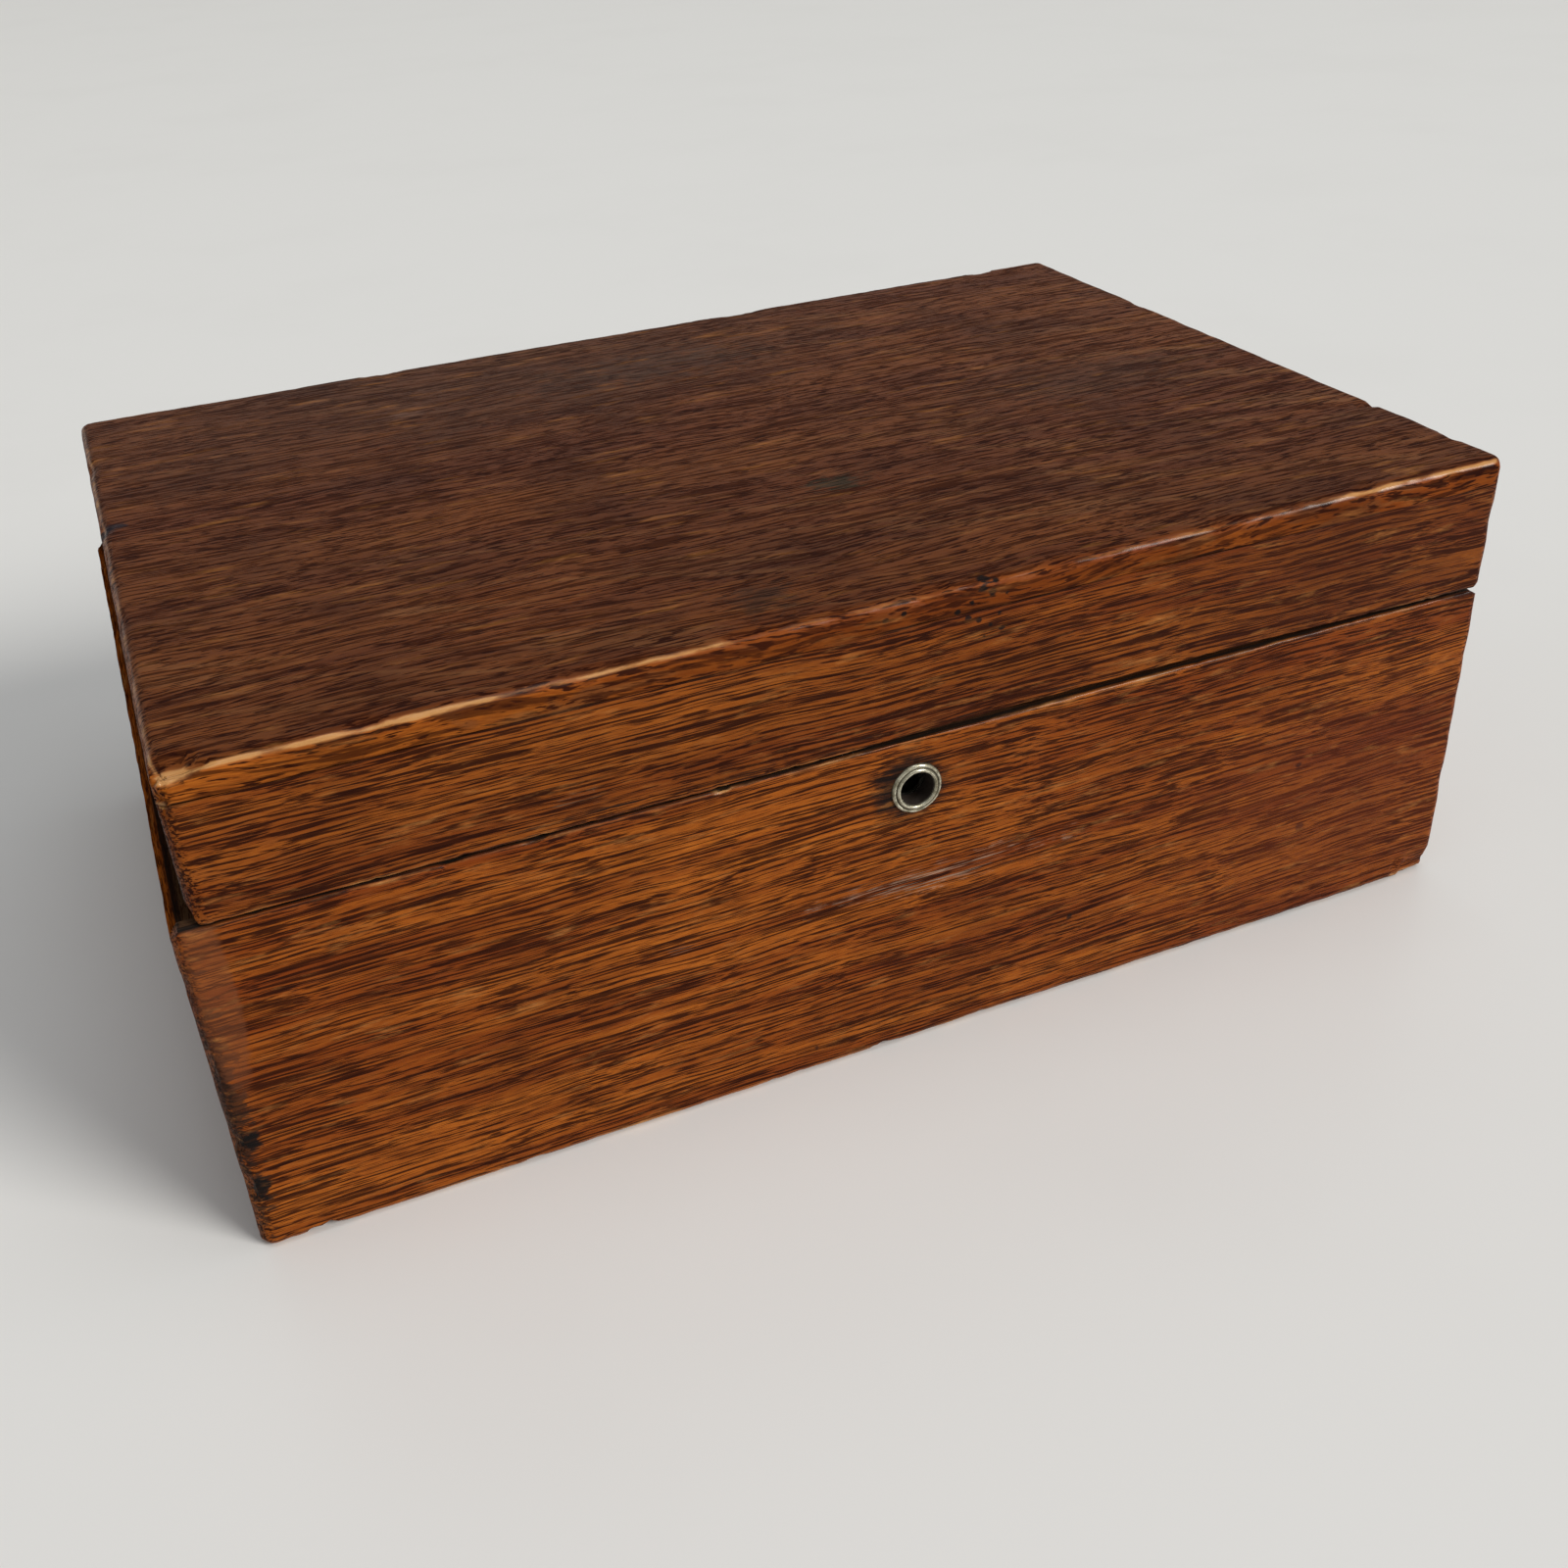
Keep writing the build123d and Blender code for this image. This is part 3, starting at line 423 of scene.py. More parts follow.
oakBaseFront = makeOak("oakBaseFront", flecks=0.1, poreLength=2.4, waviness=0.55, streakAmount=0.9, dashAmount=0.88,
                       spots=baseFrontMarks)
oakBaseLong = makeOak("oakBaseLong", shift=(400, 60, 35), flecks=0.15, poreLength=2.2, waviness=0.6, streakAmount=0.8)
oakBaseEnd = makeOak("oakBaseEnd", alongY=True, shift=(-300, 80, 12), depth=0.15, gloss=0.0)
oakLidFront = makeOak("oakLidFront", shift=(150, 20, -48), flecks=0.1, poreLength=2.6, waviness=0.6, depth=0.3,
                      streakAmount=0.92, dashAmount=0.9, spots=lidFrontMarks)
oakLidLong = makeOak("oakLidLong", shift=(-520, 35, 70), flecks=0.15, poreLength=2.2, waviness=0.6, streakAmount=0.8, depth=0.2)
oakLidEnd = makeOak("oakLidEnd", alongY=True, shift=(610, -40, 22), depth=0.2, gloss=0.0)
# depth 0.8 here is painted shade: the top is darkened because less light falls on it than on the front
oakTop = makeOak("oakTop", shift=(90, 15, -95), depth=0.8, shadeColour=(0.071, 0.0232, 0.0096, 1), flecks=0.5, waviness=1.1,
                 poreLength=0.85, dashAmount=0.97, streakAmount=0.75, clouds=0.35, grainScale=0.62, gloss=0.03,
                 spots=topMarks)
oakBottom = makeOak("oakBottom", shift=(-80, 200, 0), depth=0.1)
print("oak made")


# Metals, glass and clay
def makeMetal(name, bright, dull, roughness, dullRoughness, patchSize=4.0, relief=0.03):
    material, tree, shader, place = newMaterial(name)
    skin = useGroup(tree, tarnish, {"Place": place, "Patch Size": patchSize, "Scratch Length": 7.0})
    colour = blendColour(tree, skin["Patches"], bright, dull)
    colour = blendColour(tree, times(tree, skin["Scratches"], 0.35), colour, bright)
    # darker and duller where the mesh says: real tarnish and dirt, and painted shade inside the keyhole bore
    dirtAndShadeValue = meshValue(tree, "dirtAndShade")
    colour = blendColour(tree, dirtAndShadeValue, colour, (0.02, 0.012, 0.008, 1))
    rough = remap(tree, skin["Patches"], 0.0, 1.0, roughness, dullRoughness)
    rough = plus(tree, rough, times(tree, dirtAndShadeValue, 0.4), True)
    bump = put(tree, "ShaderNodeBump", {"Height": skin["Height"], "Strength": 0.5, "Distance": relief * mm})
    dulled = plus(tree, times(tree, skin["Patches"], 0.35), dirtAndShadeValue)
    metallic = remap(tree, dulled, 0.0, 1.0, 1.0, 0.1)
    send(tree, shader.inputs, {"Base Color": colour, "Roughness": rough, "Metallic": metallic, "Normal": bump.outputs[0]})
    return material


agedNickel = makeMetal("agedNickel", (0.46, 0.435, 0.34, 1), (0.17, 0.15, 0.095, 1), 0.2, 0.4, 1.6)
dullBrass = makeMetal("dullBrass", (0.58, 0.40, 0.14, 1), (0.30, 0.18, 0.07, 1), 0.28, 0.45, 8.0, 0.015)
dullSteel = makeMetal("dullSteel", (0.40, 0.38, 0.35, 1), (0.20, 0.17, 0.14, 1), 0.34, 0.5, 9.0, 0.012)
caseNickel = makeMetal("caseNickel", (0.62, 0.61, 0.56, 1), (0.44, 0.42, 0.36, 1), 0.2, 0.36, 14.0, 0.008)
boltSteel = makeMetal("boltSteel", (0.52, 0.50, 0.46, 1), (0.22, 0.18, 0.14, 1), 0.26, 0.45, 4.0)

opalFinish = {
    "milk": (0.80, 0.815, 0.775, 1),
    "cloud": (0.755, 0.775, 0.73, 1),
    "dust": (0.42, 0.36, 0.26, 1),
    "roughness": 0.09,
    "ior": 1.52,
}


def makeOpal(name, finish=opalFinish):
    material, tree, shader, place = newMaterial(name)
    clouds = remap(tree, noiseAt(tree, place, 0.02, 4.0, 0.55, 0.8), 0.35, 0.7)
    colour = blendColour(tree, clouds, finish["milk"], finish["cloud"])
    dusty = useGroup(tree, grime, {"Place": place, "Cloud Size": 30.0, "Amount": 0.1})
    colour = blendColour(tree, dusty["Clouds"], colour, finish["dust"])
    colour = blendColour(tree, dusty["Specks"], colour, finish["dust"])
    rough = remap(tree, dusty["Clouds"], 0.0, 0.3, finish["roughness"], finish["roughness"] + 0.25)
    wavy = noiseAt(tree, place, 0.05, 2.0, 0.5)
    bump = put(tree, "ShaderNodeBump", {"Height": wavy, "Strength": 0.3, "Distance": 0.2 * mm})
    send(tree, shader.inputs, {"Base Color": colour, "Roughness": rough, "Normal": bump.outputs[0]})
    shader.inputs["IOR"].default_value = finish["ior"]
    return material


opalGlass = makeOpal("opalGlass")


clayFinish = {"dark": (0.50, 0.37, 0.25, 1), "pale": (0.66, 0.53, 0.39, 1), "damp": (0.30, 0.21, 0.13, 1), "relief": 0.25}


def makeClay(name, finish=clayFinish):
    material, tree, shader, place = newMaterial(name)
    grains = noiseAt(tree, place, 1.6, 4.0, 0.7)
    pits = put(tree, "ShaderNodeTexVoronoi", {"Vector": place, "Scale": 0.9}).outputs["Distance"]
    damp = remap(tree, noiseAt(tree, place, 0.04, 3.0, 0.5), 0.4, 0.65)
    colour = blendColour(tree, grains, finish["dark"], finish["pale"])
    colour = blendColour(tree, times(tree, damp, 0.5), colour, finish["damp"])
    height = plus(tree, remap(tree, pits, 0.1, 0.4), grains)
    bump = put(tree, "ShaderNodeBump", {"Height": height, "Strength": 0.8, "Distance": finish["relief"] * mm})
    rough = remap(tree, grains, 0.3, 0.7, 0.82, 0.95)
    send(tree, shader.inputs, {"Base Color": colour, "Roughness": rough, "Normal": bump.outputs[0]})
    return material


firedClay = makeClay("firedClay")
print("metal, glass and clay made")


def meshObject(name, mesh, material, sharpAngle, values=None):
    data = bpy.data.meshes.new(name)
    mesh.to_mesh(data)
    mesh.free()
    for label, numbers in (values or {}).items():
        numbers = np.clip(numbers, 0, 1) if label == "dirtAndShade" else numbers
        data.attributes.new(label, "FLOAT", "POINT").data.foreach_set("value", np.asarray(numbers, np.float32))
    data.materials.append(material)
    data.shade_smooth()
    data.set_sharp_from_angle(angle=math.radians(sharpAngle))
    made = bpy.data.objects.new(name, data)
    bpy.context.scene.collection.objects.link(made)
    return made


# Boards: each starts as a copy of its CAD solid, is sliced into a fine grid, and is then worn down
boardGrid = {
    "fine": 0.5,        # near the edges
    "band": 4.0,        # how far in from them
    "coarse": 3.2,
    "lengthStep": 1.6,
    "weld": 2e-6,       # metres, as are the next two
    "slack": 3e-6,
    "finalWeld": 3e-5,
    "flatAngle": 0.3,
    "sharpAngle": 38,
}

forms = {
    "base": {"low": (-140, frontY, 0), "high": (140, 95.25, 75), "upright": 3.0, "topEdge": 0.55, "lowEdge": 1.85},
    "lid": {"low": (-136.2, frontY, 75.4), "high": (140, 95.25, 105.3), "upright": 3.0, "topEdge": 2.35, "lowEdge": 0.5},
}

# Nicks and dents: middle, half size and depth
nicks = {
    "base": [
        ((-128, -95, 0), (3.2, 3, 2.0), 1.5), ((-86, -95, 0), (2.0, 3, 1.6), 1.0), ((-8, -95, 0), (3.4, 3, 1.5), 0.9),
        ((-92, -95, 75), (2.2, 2, 1.2), 0.6), ((-76, -95, 75), (2.0, 2, 1.0), 0.5), ((-40, -95, 75), (1.6, 2, 1.0), 0.6),
        ((8, -95, 75), (22, 3, 1.6), 0.35), ((139, -95, 2), (12, 4, 3.0), 1.2), ((-140, -94, 27), (2.4, 3, 2.6), 0.9),
        ((-140, -94, 15.5), (2.4, 3, 3.0), 1.0), ((-140, -94, 44), (1.6, 3, 3.5), 0.6), ((-140, -94, 63), (1.4, 3, 2.4), 0.5),
        ((60, 95, 0), (3, 3, 2), 1.1), ((-110, 95, 75), (3, 2, 1.5), 0.6), ((140, 20, 0), (3, 4, 2), 1.0),
        ((140, -40, 75), (2, 5, 1.5), 0.6),
    ],
    "lid": [
        ((-133, -94, 105), (5.5, 4.5, 2.6), 1.6), ((-136, -94.5, 99), (2.2, 2.5, 1.8), 0.8),
        ((126, -95, 102.8), (1.8, 2, 1.4), 0.6), ((137.7, -55.4, 104.5), (7, 0.9, 5), 1.3),
        ((-101, -95, 105), (3.0, 3, 1.6), 0.5), ((-62, -95, 105), (6.0, 3, 1.8), 0.55), ((-33, -95, 105), (4.0, 3, 1.6), 0.5),
        ((4, -95, 105), (5.0, 3, 1.8), 0.6), ((31, -95, 105), (3.0, 3, 1.5), 0.45), ((70, -95, 105), (4.0, 3, 1.5), 0.4),
        ((104, -95, 105), (3.0, 3, 1.5), 0.45), ((-136, 18, 105), (3, 4, 2), 0.7), ((-136, 60, 105), (3, 6, 2), 0.6),
        ((40, 95, 105), (9, 3, 2), 0.6), ((-60, 95, 105), (7, 3, 2), 0.5), ((118, 95, 105), (6, 3, 2), 0.7),
        ((140, 40, 105), (3, 5, 2), 0.6), ((140, -80, 105), (3, 4, 2), 0.6),
    ],
}

# Chips that show fresh wood: middle and half size
chips = [((-133.8, -94.2, 104.3), (5.2, 2.6, 1.8)), ((-136, -95, 99.0), (1.6, 2.5, 1.4)), ((-40, -95, 75), (1.8, 2, 1.0))]


def waves(points, size, seed):
    # smooth unevenness from -1 to 1 over lengths of about size
    chance = np.random.default_rng(seed)
    total = np.zeros(len(points))
    for number in range(7):
        direction = chance.normal(size=3)
        direction /= np.linalg.norm(direction) * size * chance.uniform(0.5, 1.4)
        total += np.sin(points @ direction * 2 * math.pi + chance.uniform(0, 2 * math.pi))
    return np.clip(total / 3.2, -1, 1)


def nearby(distance, reach, start=1.0):
    # from start at no distance down to 0
    return np.clip(start - distance / reach, 0, 1)


def gridLines(low, high, coarse):
    fine, band = boardGrid["fine"], min(boardGrid["band"], (high - low) / 2)
    ends = np.arange(fine, band, fine)
    count = max(2, round((high - low - 2 * band) / coarse))
    middle = np.linspace(low + band, high - band, count + 1)
    lines = np.unique(np.round(np.concatenate([low + ends, middle, high - ends]), 4))
    return [line for line in lines if low + 0.1 < line < high - 0.1]


def sliceMesh(mesh, axis, places):
    # each cut only goes through what is still beyond the last one
    rest = list(mesh.verts) + list(mesh.edges) + list(mesh.faces)
    slack = boardGrid["slack"]
    normal = Vector((0, 0, 0))
    normal[axis] = 1
    for place in places:
        at = place * mm
        made = bmesh.ops.bisect_plane(mesh, geom=rest, dist=boardGrid["weld"], plane_co=normal * at, plane_no=normal)
        rest = []
        for part in made["geom"]:
            if isinstance(part, bmesh.types.BMVert):
                beyond = part.co[axis] > at - slack
            else:
                beyond = max(v.co[axis] for v in part.verts) > at + slack
            if beyond:
                rest.append(part)


def slicedBoard(name, lengthAxis, coarse, step):
    mesh = bmesh.new()
    mesh.from_mesh(cadNodes[name].data)
    bmesh.ops.remove_doubles(mesh, verts=mesh.verts, dist=boardGrid["weld"])
    bmesh.ops.dissolve_limit(mesh, angle_limit=math.radians(boardGrid["flatAngle"]), verts=mesh.verts, edges=mesh.edges)
    corners = np.array([v.co for v in mesh.verts]) / mm
    low, high = corners.min(0), corners.max(0)
    for axis in [axis for axis in (2, 1, 0) if axis != lengthAxis] + [lengthAxis]:
        sliceMesh(mesh, axis, gridLines(low[axis], high[axis], step if axis == lengthAxis else coarse))
    bmesh.ops.remove_doubles(mesh, verts=mesh.verts, dist=boardGrid["finalWeld"])
    mesh.normal_update()
    return mesh, low, high


def sideDistances(form, points):
    # how far in from the ends and from the front or back, and on which half
    low, high = form["low"], form["high"]
    dx = np.minimum(points[:, 0] - low[0], high[0] - points[:, 0])
    dy = np.minimum(points[:, 1] - low[1], high[1] - points[:, 1])
    sx = np.where(points[:, 0] > (low[0] + high[0]) / 2, 1.0, -1.0)
    sy = np.where(points[:, 1] > (low[1] + high[1]) / 2, 1.0, -1.0)
    return dx, dy, sx, sy


def outerDistances(form, points):
    dx, dy, sx, sy = sideDistances(form, points)
    return np.minimum(dx, dy), form["high"][2] - points[:, 2], points[:, 2] - form["low"][2]


def cornerShifts(a, b, radius):
    # how far a point that reaches a and b into a corner moves to lie on its round
    far = np.hypot(a, b)
    over = (a > 0) & (b > 0) & (far > radius)
    k = np.where(over, radius / np.maximum(far, 1e-9), 1.0)
    return np.where(over, a * (1 - k), 0), np.where(over, b * (1 - k), 0)


def roundUprights(form, points, radius):
    dx, dy, sx, sy = sideDistances(form, points)
    shiftX, shiftY = cornerShifts(np.clip(radius - dx, 0, None), np.clip(radius - dy, 0, None), radius)
    points[:, 0] -= shiftX * sx
    points[:, 1] -= shiftY * sy


def roundOver(form, points, radius, top):
    # rounds the edge between the upright sides and the top or the underside
    upright = form["upright"]
    dx, dy, sx, sy = sideDistances(form, points)
    ox, oy = np.clip(upright - dx, 0, None), np.clip(upright - dy, 0, None)
    corner = (ox > 0) & (oy > 0)
    reach = np.hypot(ox, oy)
    inward = np.where(corner, upright - reach, np.minimum(dx, dy))
    nx = np.where(corner, ox / np.maximum(reach, 1e-9), (dx <= dy) * 1.0) * sx
    ny = np.where(corner, oy / np.maximum(reach, 1e-9), (dx > dy) * 1.0) * sy
    dz = form["high"][2] - points[:, 2] if top else points[:, 2] - form["low"][2]
    shift, shiftZ = cornerShifts(np.clip(radius - inward, 0, None), np.clip(radius - dz, 0, None), radius)
    points[:, 0] -= nx * shift
    points[:, 1] -= ny * shift
    points[:, 2] += shiftZ * (-1 if top else 1)


def meetings(form, low, high):
    # the board's own edges that lie against another board
    return [(axis, end[axis]) for axis in range(3) for end, limit in ((low, form["low"]), (high, form["high"]))
            if abs(end[axis] - limit[axis]) > 2.0]


# How the rounded edges vary, and how far the lid's front edge has sunk
edgeShape = {"uprights": (1.03, 0.22), "patches": (1.04, 0.22), "foot": (1.02, 0.25), "small": (1.2, 0.7), "rim": (1.3, 0.7),
             "sagMiddle": 10, "sagWidth": 75, "sagReach": 20, "sagRadius": 0.7, "sagDrop": 0.55}


def roundBoard(form, body, points, fromTop):
    shape = edgeShape
    patchy = waves(points * (1, 1, 0.2), 26, 11) * 0.5 + waves(points, 7, 12) * 0.35
    bumpy = np.clip(patchy + 0.4, 0, 1.4)
    uneven = np.clip(waves(points * (0.02, 0.02, 1), 14, 13) + 0.3, 0, 1.3)
    roundUprights(form, points, form["upright"] * (shape["uprights"][0] + shape["uprights"][1] * uneven))
    if body == "lid":
        fromFront = points[:, 1] - form["low"][1]
        front = nearby(fromFront, shape["sagReach"])
        sag = np.exp(-((points[:, 0] - shape["sagMiddle"]) / shape["sagWidth"]) ** 2) * front
        topRadius = form["topEdge"] * (shape["patches"][0] + shape["patches"][1] * bumpy) + shape["sagRadius"] * sag
        lowRadius = form["lowEdge"] * (shape["small"][0] + shape["small"][1] * patchy)
        drop = sag * shape["sagDrop"] * np.exp(-fromFront / 5.0)
        points[:, 2] -= np.where(fromTop < 4, drop * (1 + 0.5 * waves(points, 18, 14)), 0)
    else:
        topRadius = form["topEdge"] * (shape["rim"][0] + shape["rim"][1] * patchy)
        lowRadius = form["lowEdge"] * (shape["foot"][0] + shape["foot"][1] * bumpy)
    roundOver(form, points, topRadius, True)
    roundOver(form, points, lowRadius, False)


# Depths of the surface's unevenness, all inwards
surfaceShape = {"broad": 0.05, "fine": 0.035, "jointWidth": 0.7, "jointDepth": 0.07, "arrisWidth": 3.2, "arrisDents": 0.35,
                "arrisRipple": 0.03, "sawPitch": 2.1, "sawDepth": 0.045, "sawUnevenness": 0.04, "sawBase": 0.09}


def roughenBoard(form, body, points, normals, skin, joints):
    shape = surfaceShape
    side, fromTop, fromLow = outerDistances(form, points)
    depth = shape["broad"] * (1 + waves(points, 60, 21)) + shape["fine"] * waves(points * (0.4, 1, 1), 9, 22)
    for axis, at in joints:
        near = nearby(np.abs(points[:, axis] - at), shape["jointWidth"])
        depth += near ** 2 * shape["jointDepth"] * (1 + waves(points, 11, 23 + axis))
    arris = nearby(np.hypot(side, np.minimum(fromTop, fromLow)), shape["arrisWidth"])
    depth += arris * shape["arrisDents"] * np.clip(waves(points, 4.5, 31) - 0.5, 0, 1)
    depth += shape["arrisRipple"] * arris * (1 + waves(points, 2.4, 32))
    for at, size, deep in nicks[body]:
        away = (((points - at) / size) ** 2).sum(1) * (1 + 0.35 * waves(points, 3.0, 41))
        depth += deep * np.clip(1 - away, 0, 1) ** 0.7
    points -= normals * (depth * skin)[:, None]

    # saw ripple down the ends
    fromEnd = np.minimum(points[:, 0] - form["low"][0], form["high"][0] - points[:, 0])
    saw = shape["sawDepth"] * np.sin(points[:, 2] * 2 * math.pi / shape["sawPitch"] + 2 * waves(points, 20, 51))
    saw += shape["sawUnevenness"] * waves(points * (0, 0.3, 1), 3.2, 52)
    points[:, 0] -= np.sign(points[:, 0]) * np.where((fromEnd < 1.0) & skin, shape["sawBase"] + saw, 0)
    return side, fromTop, fromLow


def rubbedEdges(body, points, side, fromTop, fromLow):
    fromArris, fromFoot = np.hypot(side, fromTop), np.hypot(side, fromLow)
    if body == "lid":
        rubbed = np.clip((1.5 - fromArris) / 0.55, 0, 1.25)
        rubbed = np.maximum(rubbed, 0.35 * nearby(fromFoot, 0.8, 1.2))
        rubbed *= np.where(points[:, 1] < -85, 1.0, 0.5)
    else:
        rubbed = np.maximum(0.3 * nearby(fromArris, 0.8, 1.3), 0.62 * nearby(fromFoot, 1.6, 1.2))
    for at, size in chips:
        away = (((points - at) / size) ** 2).sum(1)
        rubbed = np.maximum(rubbed, np.clip(1.6 * (1.1 - away), 0, 0.9))
    return rubbed


# Real dark joints, plus painted shade on the parting gap, the faces beside it, the lid's left end and the ledge below
# it
def jointDirtAndPaintedShade(body, points, side, fromTop, fromLow, inside, joints):
    gapEdge = fromTop if body == "base" else fromLow
    joint = np.zeros(len(points))
    for axis, at in joints:
        joint = np.maximum(joint, nearby(np.abs(points[:, axis] - at), 0.38, 1.15))
    leftEnd = np.clip((-135.7 - points[:, 0]) / 0.3, 0, 1)
    layers = [
        joint * (0.35 + 0.35 * waves(points, 9, 61)),
        # painted shade along the edges that face the parting gap
        0.55 * nearby(gapEdge, 0.5) * np.clip(waves(points, 14, 62) + 0.2, 0, 1),
        0.97 * (gapEdge < 0.25) * np.clip((side - 0.3) / 0.4, 0, 1) * nearby(side, 5.0, 1.3),  # painted shade in the parting gap
        # painted shade on the inner faces next to the gap
        0.95 * inside * nearby(side, 4.0, 1.3) * (gapEdge < 1.6),
    ]
    if body == "lid":  # painted shade in the gap's wider right half, and on the left end above the ledge
        frontRight = np.clip((points[:, 0] + 30) / 40, 0, 1) * (points[:, 1] < -88)
        layers.append(0.9 * frontRight * nearby(fromLow, 0.7, 1.1))
        layers.append(0.95 * leftEnd * nearby(points[:, 2] - 75, 24, 1.35) * (points[:, 1] > -94.4))
    else:  # painted shade on the ledge
        layers.append(0.9 * leftEnd * nearby(fromTop, 0.6, 1.1) * (points[:, 1] > -93.5))
    return np.maximum.reduce([np.zeros(len(points))] + layers)


def wornBoard(name, body, material, lengthAxis=0, coarse=boardGrid["coarse"], step=boardGrid["lengthStep"]):
    started = time.time()
    form = forms[body]
    mesh, low, high = slicedBoard(name, lengthAxis, coarse, step)
    points = np.array([v.co for v in mesh.verts]) / mm
    normals = np.array([v.normal for v in mesh.verts])
    joints = meetings(form, low, high)

    # which points lie on the outside of the box
    side, fromTop, fromLow = outerDistances(form, points)
    outerFace = fromTop if body == "lid" else fromLow
    outward = points - (np.array(form["low"]) + np.array(form["high"])) / 2
    facing = (normals * np.sign(outward)).sum(1) > 0.35
    skin = (side < 0.06) | (outerFace < 0.06) | (facing & (side < 2.5))

    roundBoard(form, body, points, fromTop)
    side, fromTop, fromLow = roughenBoard(form, body, points, normals, skin, joints)
    inside = np.where(skin | (side < 0.9), 0.0, 1.0)
    isTop = name == "lid_top_board"  # its front edge keeps the front's colour, without the top's painted shade
    values = {
        "wear": rubbedEdges(body, points, side, fromTop, fromLow),
        "dirtAndShade": jointDirtAndPaintedShade(body, points, side, fromTop, fromLow, inside, joints),
        "inside": inside,
        "upper": nearby(fromTop, 0.9, 1.3) if isTop else np.ones(len(points)),
    }
    for vertex, place in zip(mesh.verts, points * mm):
        vertex.co = place
    bmesh.ops.triangulate(mesh, faces=[f for f in mesh.faces if len(f.verts) > 4])
    board = meshObject("worn_" + name, mesh, material, boardGrid["sharpAngle"], values)
    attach(board, body)
    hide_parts(name)
    print(board.name, len(board.data.polygons), "faces", round(time.time() - started, 1), "s")


wornBoard("lid_top_board", "lid", oakTop, step=1.5, coarse=2.6)
wornBoard("lid_front_board", "lid", oakLidFront, step=1.3, coarse=2.2)
wornBoard("base_front_board", "base", oakBaseFront, step=1.5, coarse=2.6)
wornBoard("base_back_board", "base", oakBaseLong, step=2.2)
wornBoard("lid_back_board", "lid", oakLidLong, step=2.2)
wornBoard("base_left_board", "base", oakBaseEnd, lengthAxis=1)
wornBoard("base_right_board", "base", oakBaseEnd, lengthAxis=1)
wornBoard("lid_left_board", "lid", oakLidEnd, lengthAxis=1)
wornBoard("lid_right_board", "lid", oakLidEnd, lengthAxis=1)
wornBoard("base_bottom_board", "base", oakBottom, step=4.0, coarse=6.0)
print("boards worn")


# Keyhole bush: a turned ring with a rolled inner lip and a groove outside it
bush = {
    "middle": (0, 63.8),
    "face": frontY,
    "bore": 3.7,
    "lip": 0.43,
    "lipRise": 0.47,
    "tube": 4.55,
    "flange": 5.5,
    "back": 3.8,
    "segments": 112,
    "dings": 7,
    "sharpAngle": 50,
}


def bushProfile(size):
    # radius and rise from the front face, from the back of the bore round to the back of the tube
    lip, inner = size["lip"], size["bore"] + 2 * size["lip"]
    profile = [(size["bore"], -size["back"]), (size["bore"], -2.0), (size["bore"], 0.2)]
    for step in range(9):  # rolled lip
        angle = math.pi * (1 - step / 8)
        profile.append((size["bore"] + lip + lip * math.cos(angle), size["lipRise"] + lip * math.sin(angle)))
    profile += [(inner + 0.04, 0.33), (inner + 0.12, 0.28), (inner + 0.2, 0.34)]  # groove
    for step in range(7):  # crowned flange
        share = step / 6
        rise = 0.42 + 0.18 * math.sin(math.pi * (0.25 + 0.65 * share)) - 0.28 * share ** 4
        profile.append((inner + 0.24 + share * (size["flange"] - inner - 0.24), rise))
    return profile + [(size["flange"], 0.0), (size["tube"], 0.0), (size["tube"], -size["back"])]


def makeBush(size):
    profile, count = bushProfile(size), size["segments"]
    grooveAt = size["bore"] + 2 * size["lip"] + 0.12
    mesh = bmesh.new()
    rings, dirtAndShade = [], []
    chance = np.random.default_rng(5)
    dings = [(chance.uniform(0, 2 * math.pi), chance.uniform(0.1, 0.3), chance.uniform(0.04, 0.1))
             for number in range(size["dings"])]
    for number in range(count):
        angle = 2 * math.pi * number / count
        sunk = sum(deep * math.exp(-(math.remainder(angle - at, 2 * math.pi) / wide) ** 2) for at, wide, deep in dings)
        ring = []
        for radius, rise in profile:
            rise = rise - sunk * 0.6 if rise > 0.25 else rise
            radius = radius - sunk * 0.5 if radius > 5.2 and rise > 0.05 else radius
            ring.append(mesh.verts.new((radius * math.cos(angle) * mm + size["middle"][0] * mm,
                                        (size["face"] - rise) * mm,
                                        (size["middle"][1] + radius * math.sin(angle)) * mm)))
            # tarnish in the groove and dirt at the foot are real; inHole is painted shade down inside the bore
            groove = max(0, 1 - abs(radius - grooveAt) / 0.2) if rise > 0.2 else 0
            inHole = min(1, max(0, (0.6 - rise) / 0.4)) if radius < 3.9 else 0
            rim = max(0, 1 - rise / 0.16) if radius > 5.3 else 0
            dirtAndShade.append(max(max(groove * 0.85, rim * 0.8) * (0.8 + 0.2 * math.sin(angle * 5 + 1)), inHole))
        rings.append(ring)
    for number in range(count):
        here, there = rings[number], rings[(number + 1) % count]
        for k in range(len(profile)):
            nxt = (k + 1) % len(profile)
            mesh.faces.new((here[k], here[nxt], there[nxt], there[k]))
    bmesh.ops.recalc_face_normals(mesh, faces=mesh.faces)
    ring = meshObject("turned_keyhole_bush", mesh, agedNickel, size["sharpAngle"], {"dirtAndShade": dirtAndShade})
    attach(ring, "base")
    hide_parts("keyhole_bush")


makeBush(bush)
print("keyhole bush made")


# Wood screws: slotted countersunk heads and tapering threaded shanks
screw = {
    "head": 2.0,
    "headDepth": 0.9,
    "shank": 1.02,
    "slot": 0.62,
    "slotDepth": 0.5,
    "pitch": 1.25,
    "thread": 0.24,
    "ridge": 0.22,      # share of the pitch on each side of a ridge
    "plain": 2.6,       # unthreaded length, from the head's face
    "tip": 2.2,
    "around": 20,
    "rowsPerTurn": 5,
    "sharpAngle": 35,
}


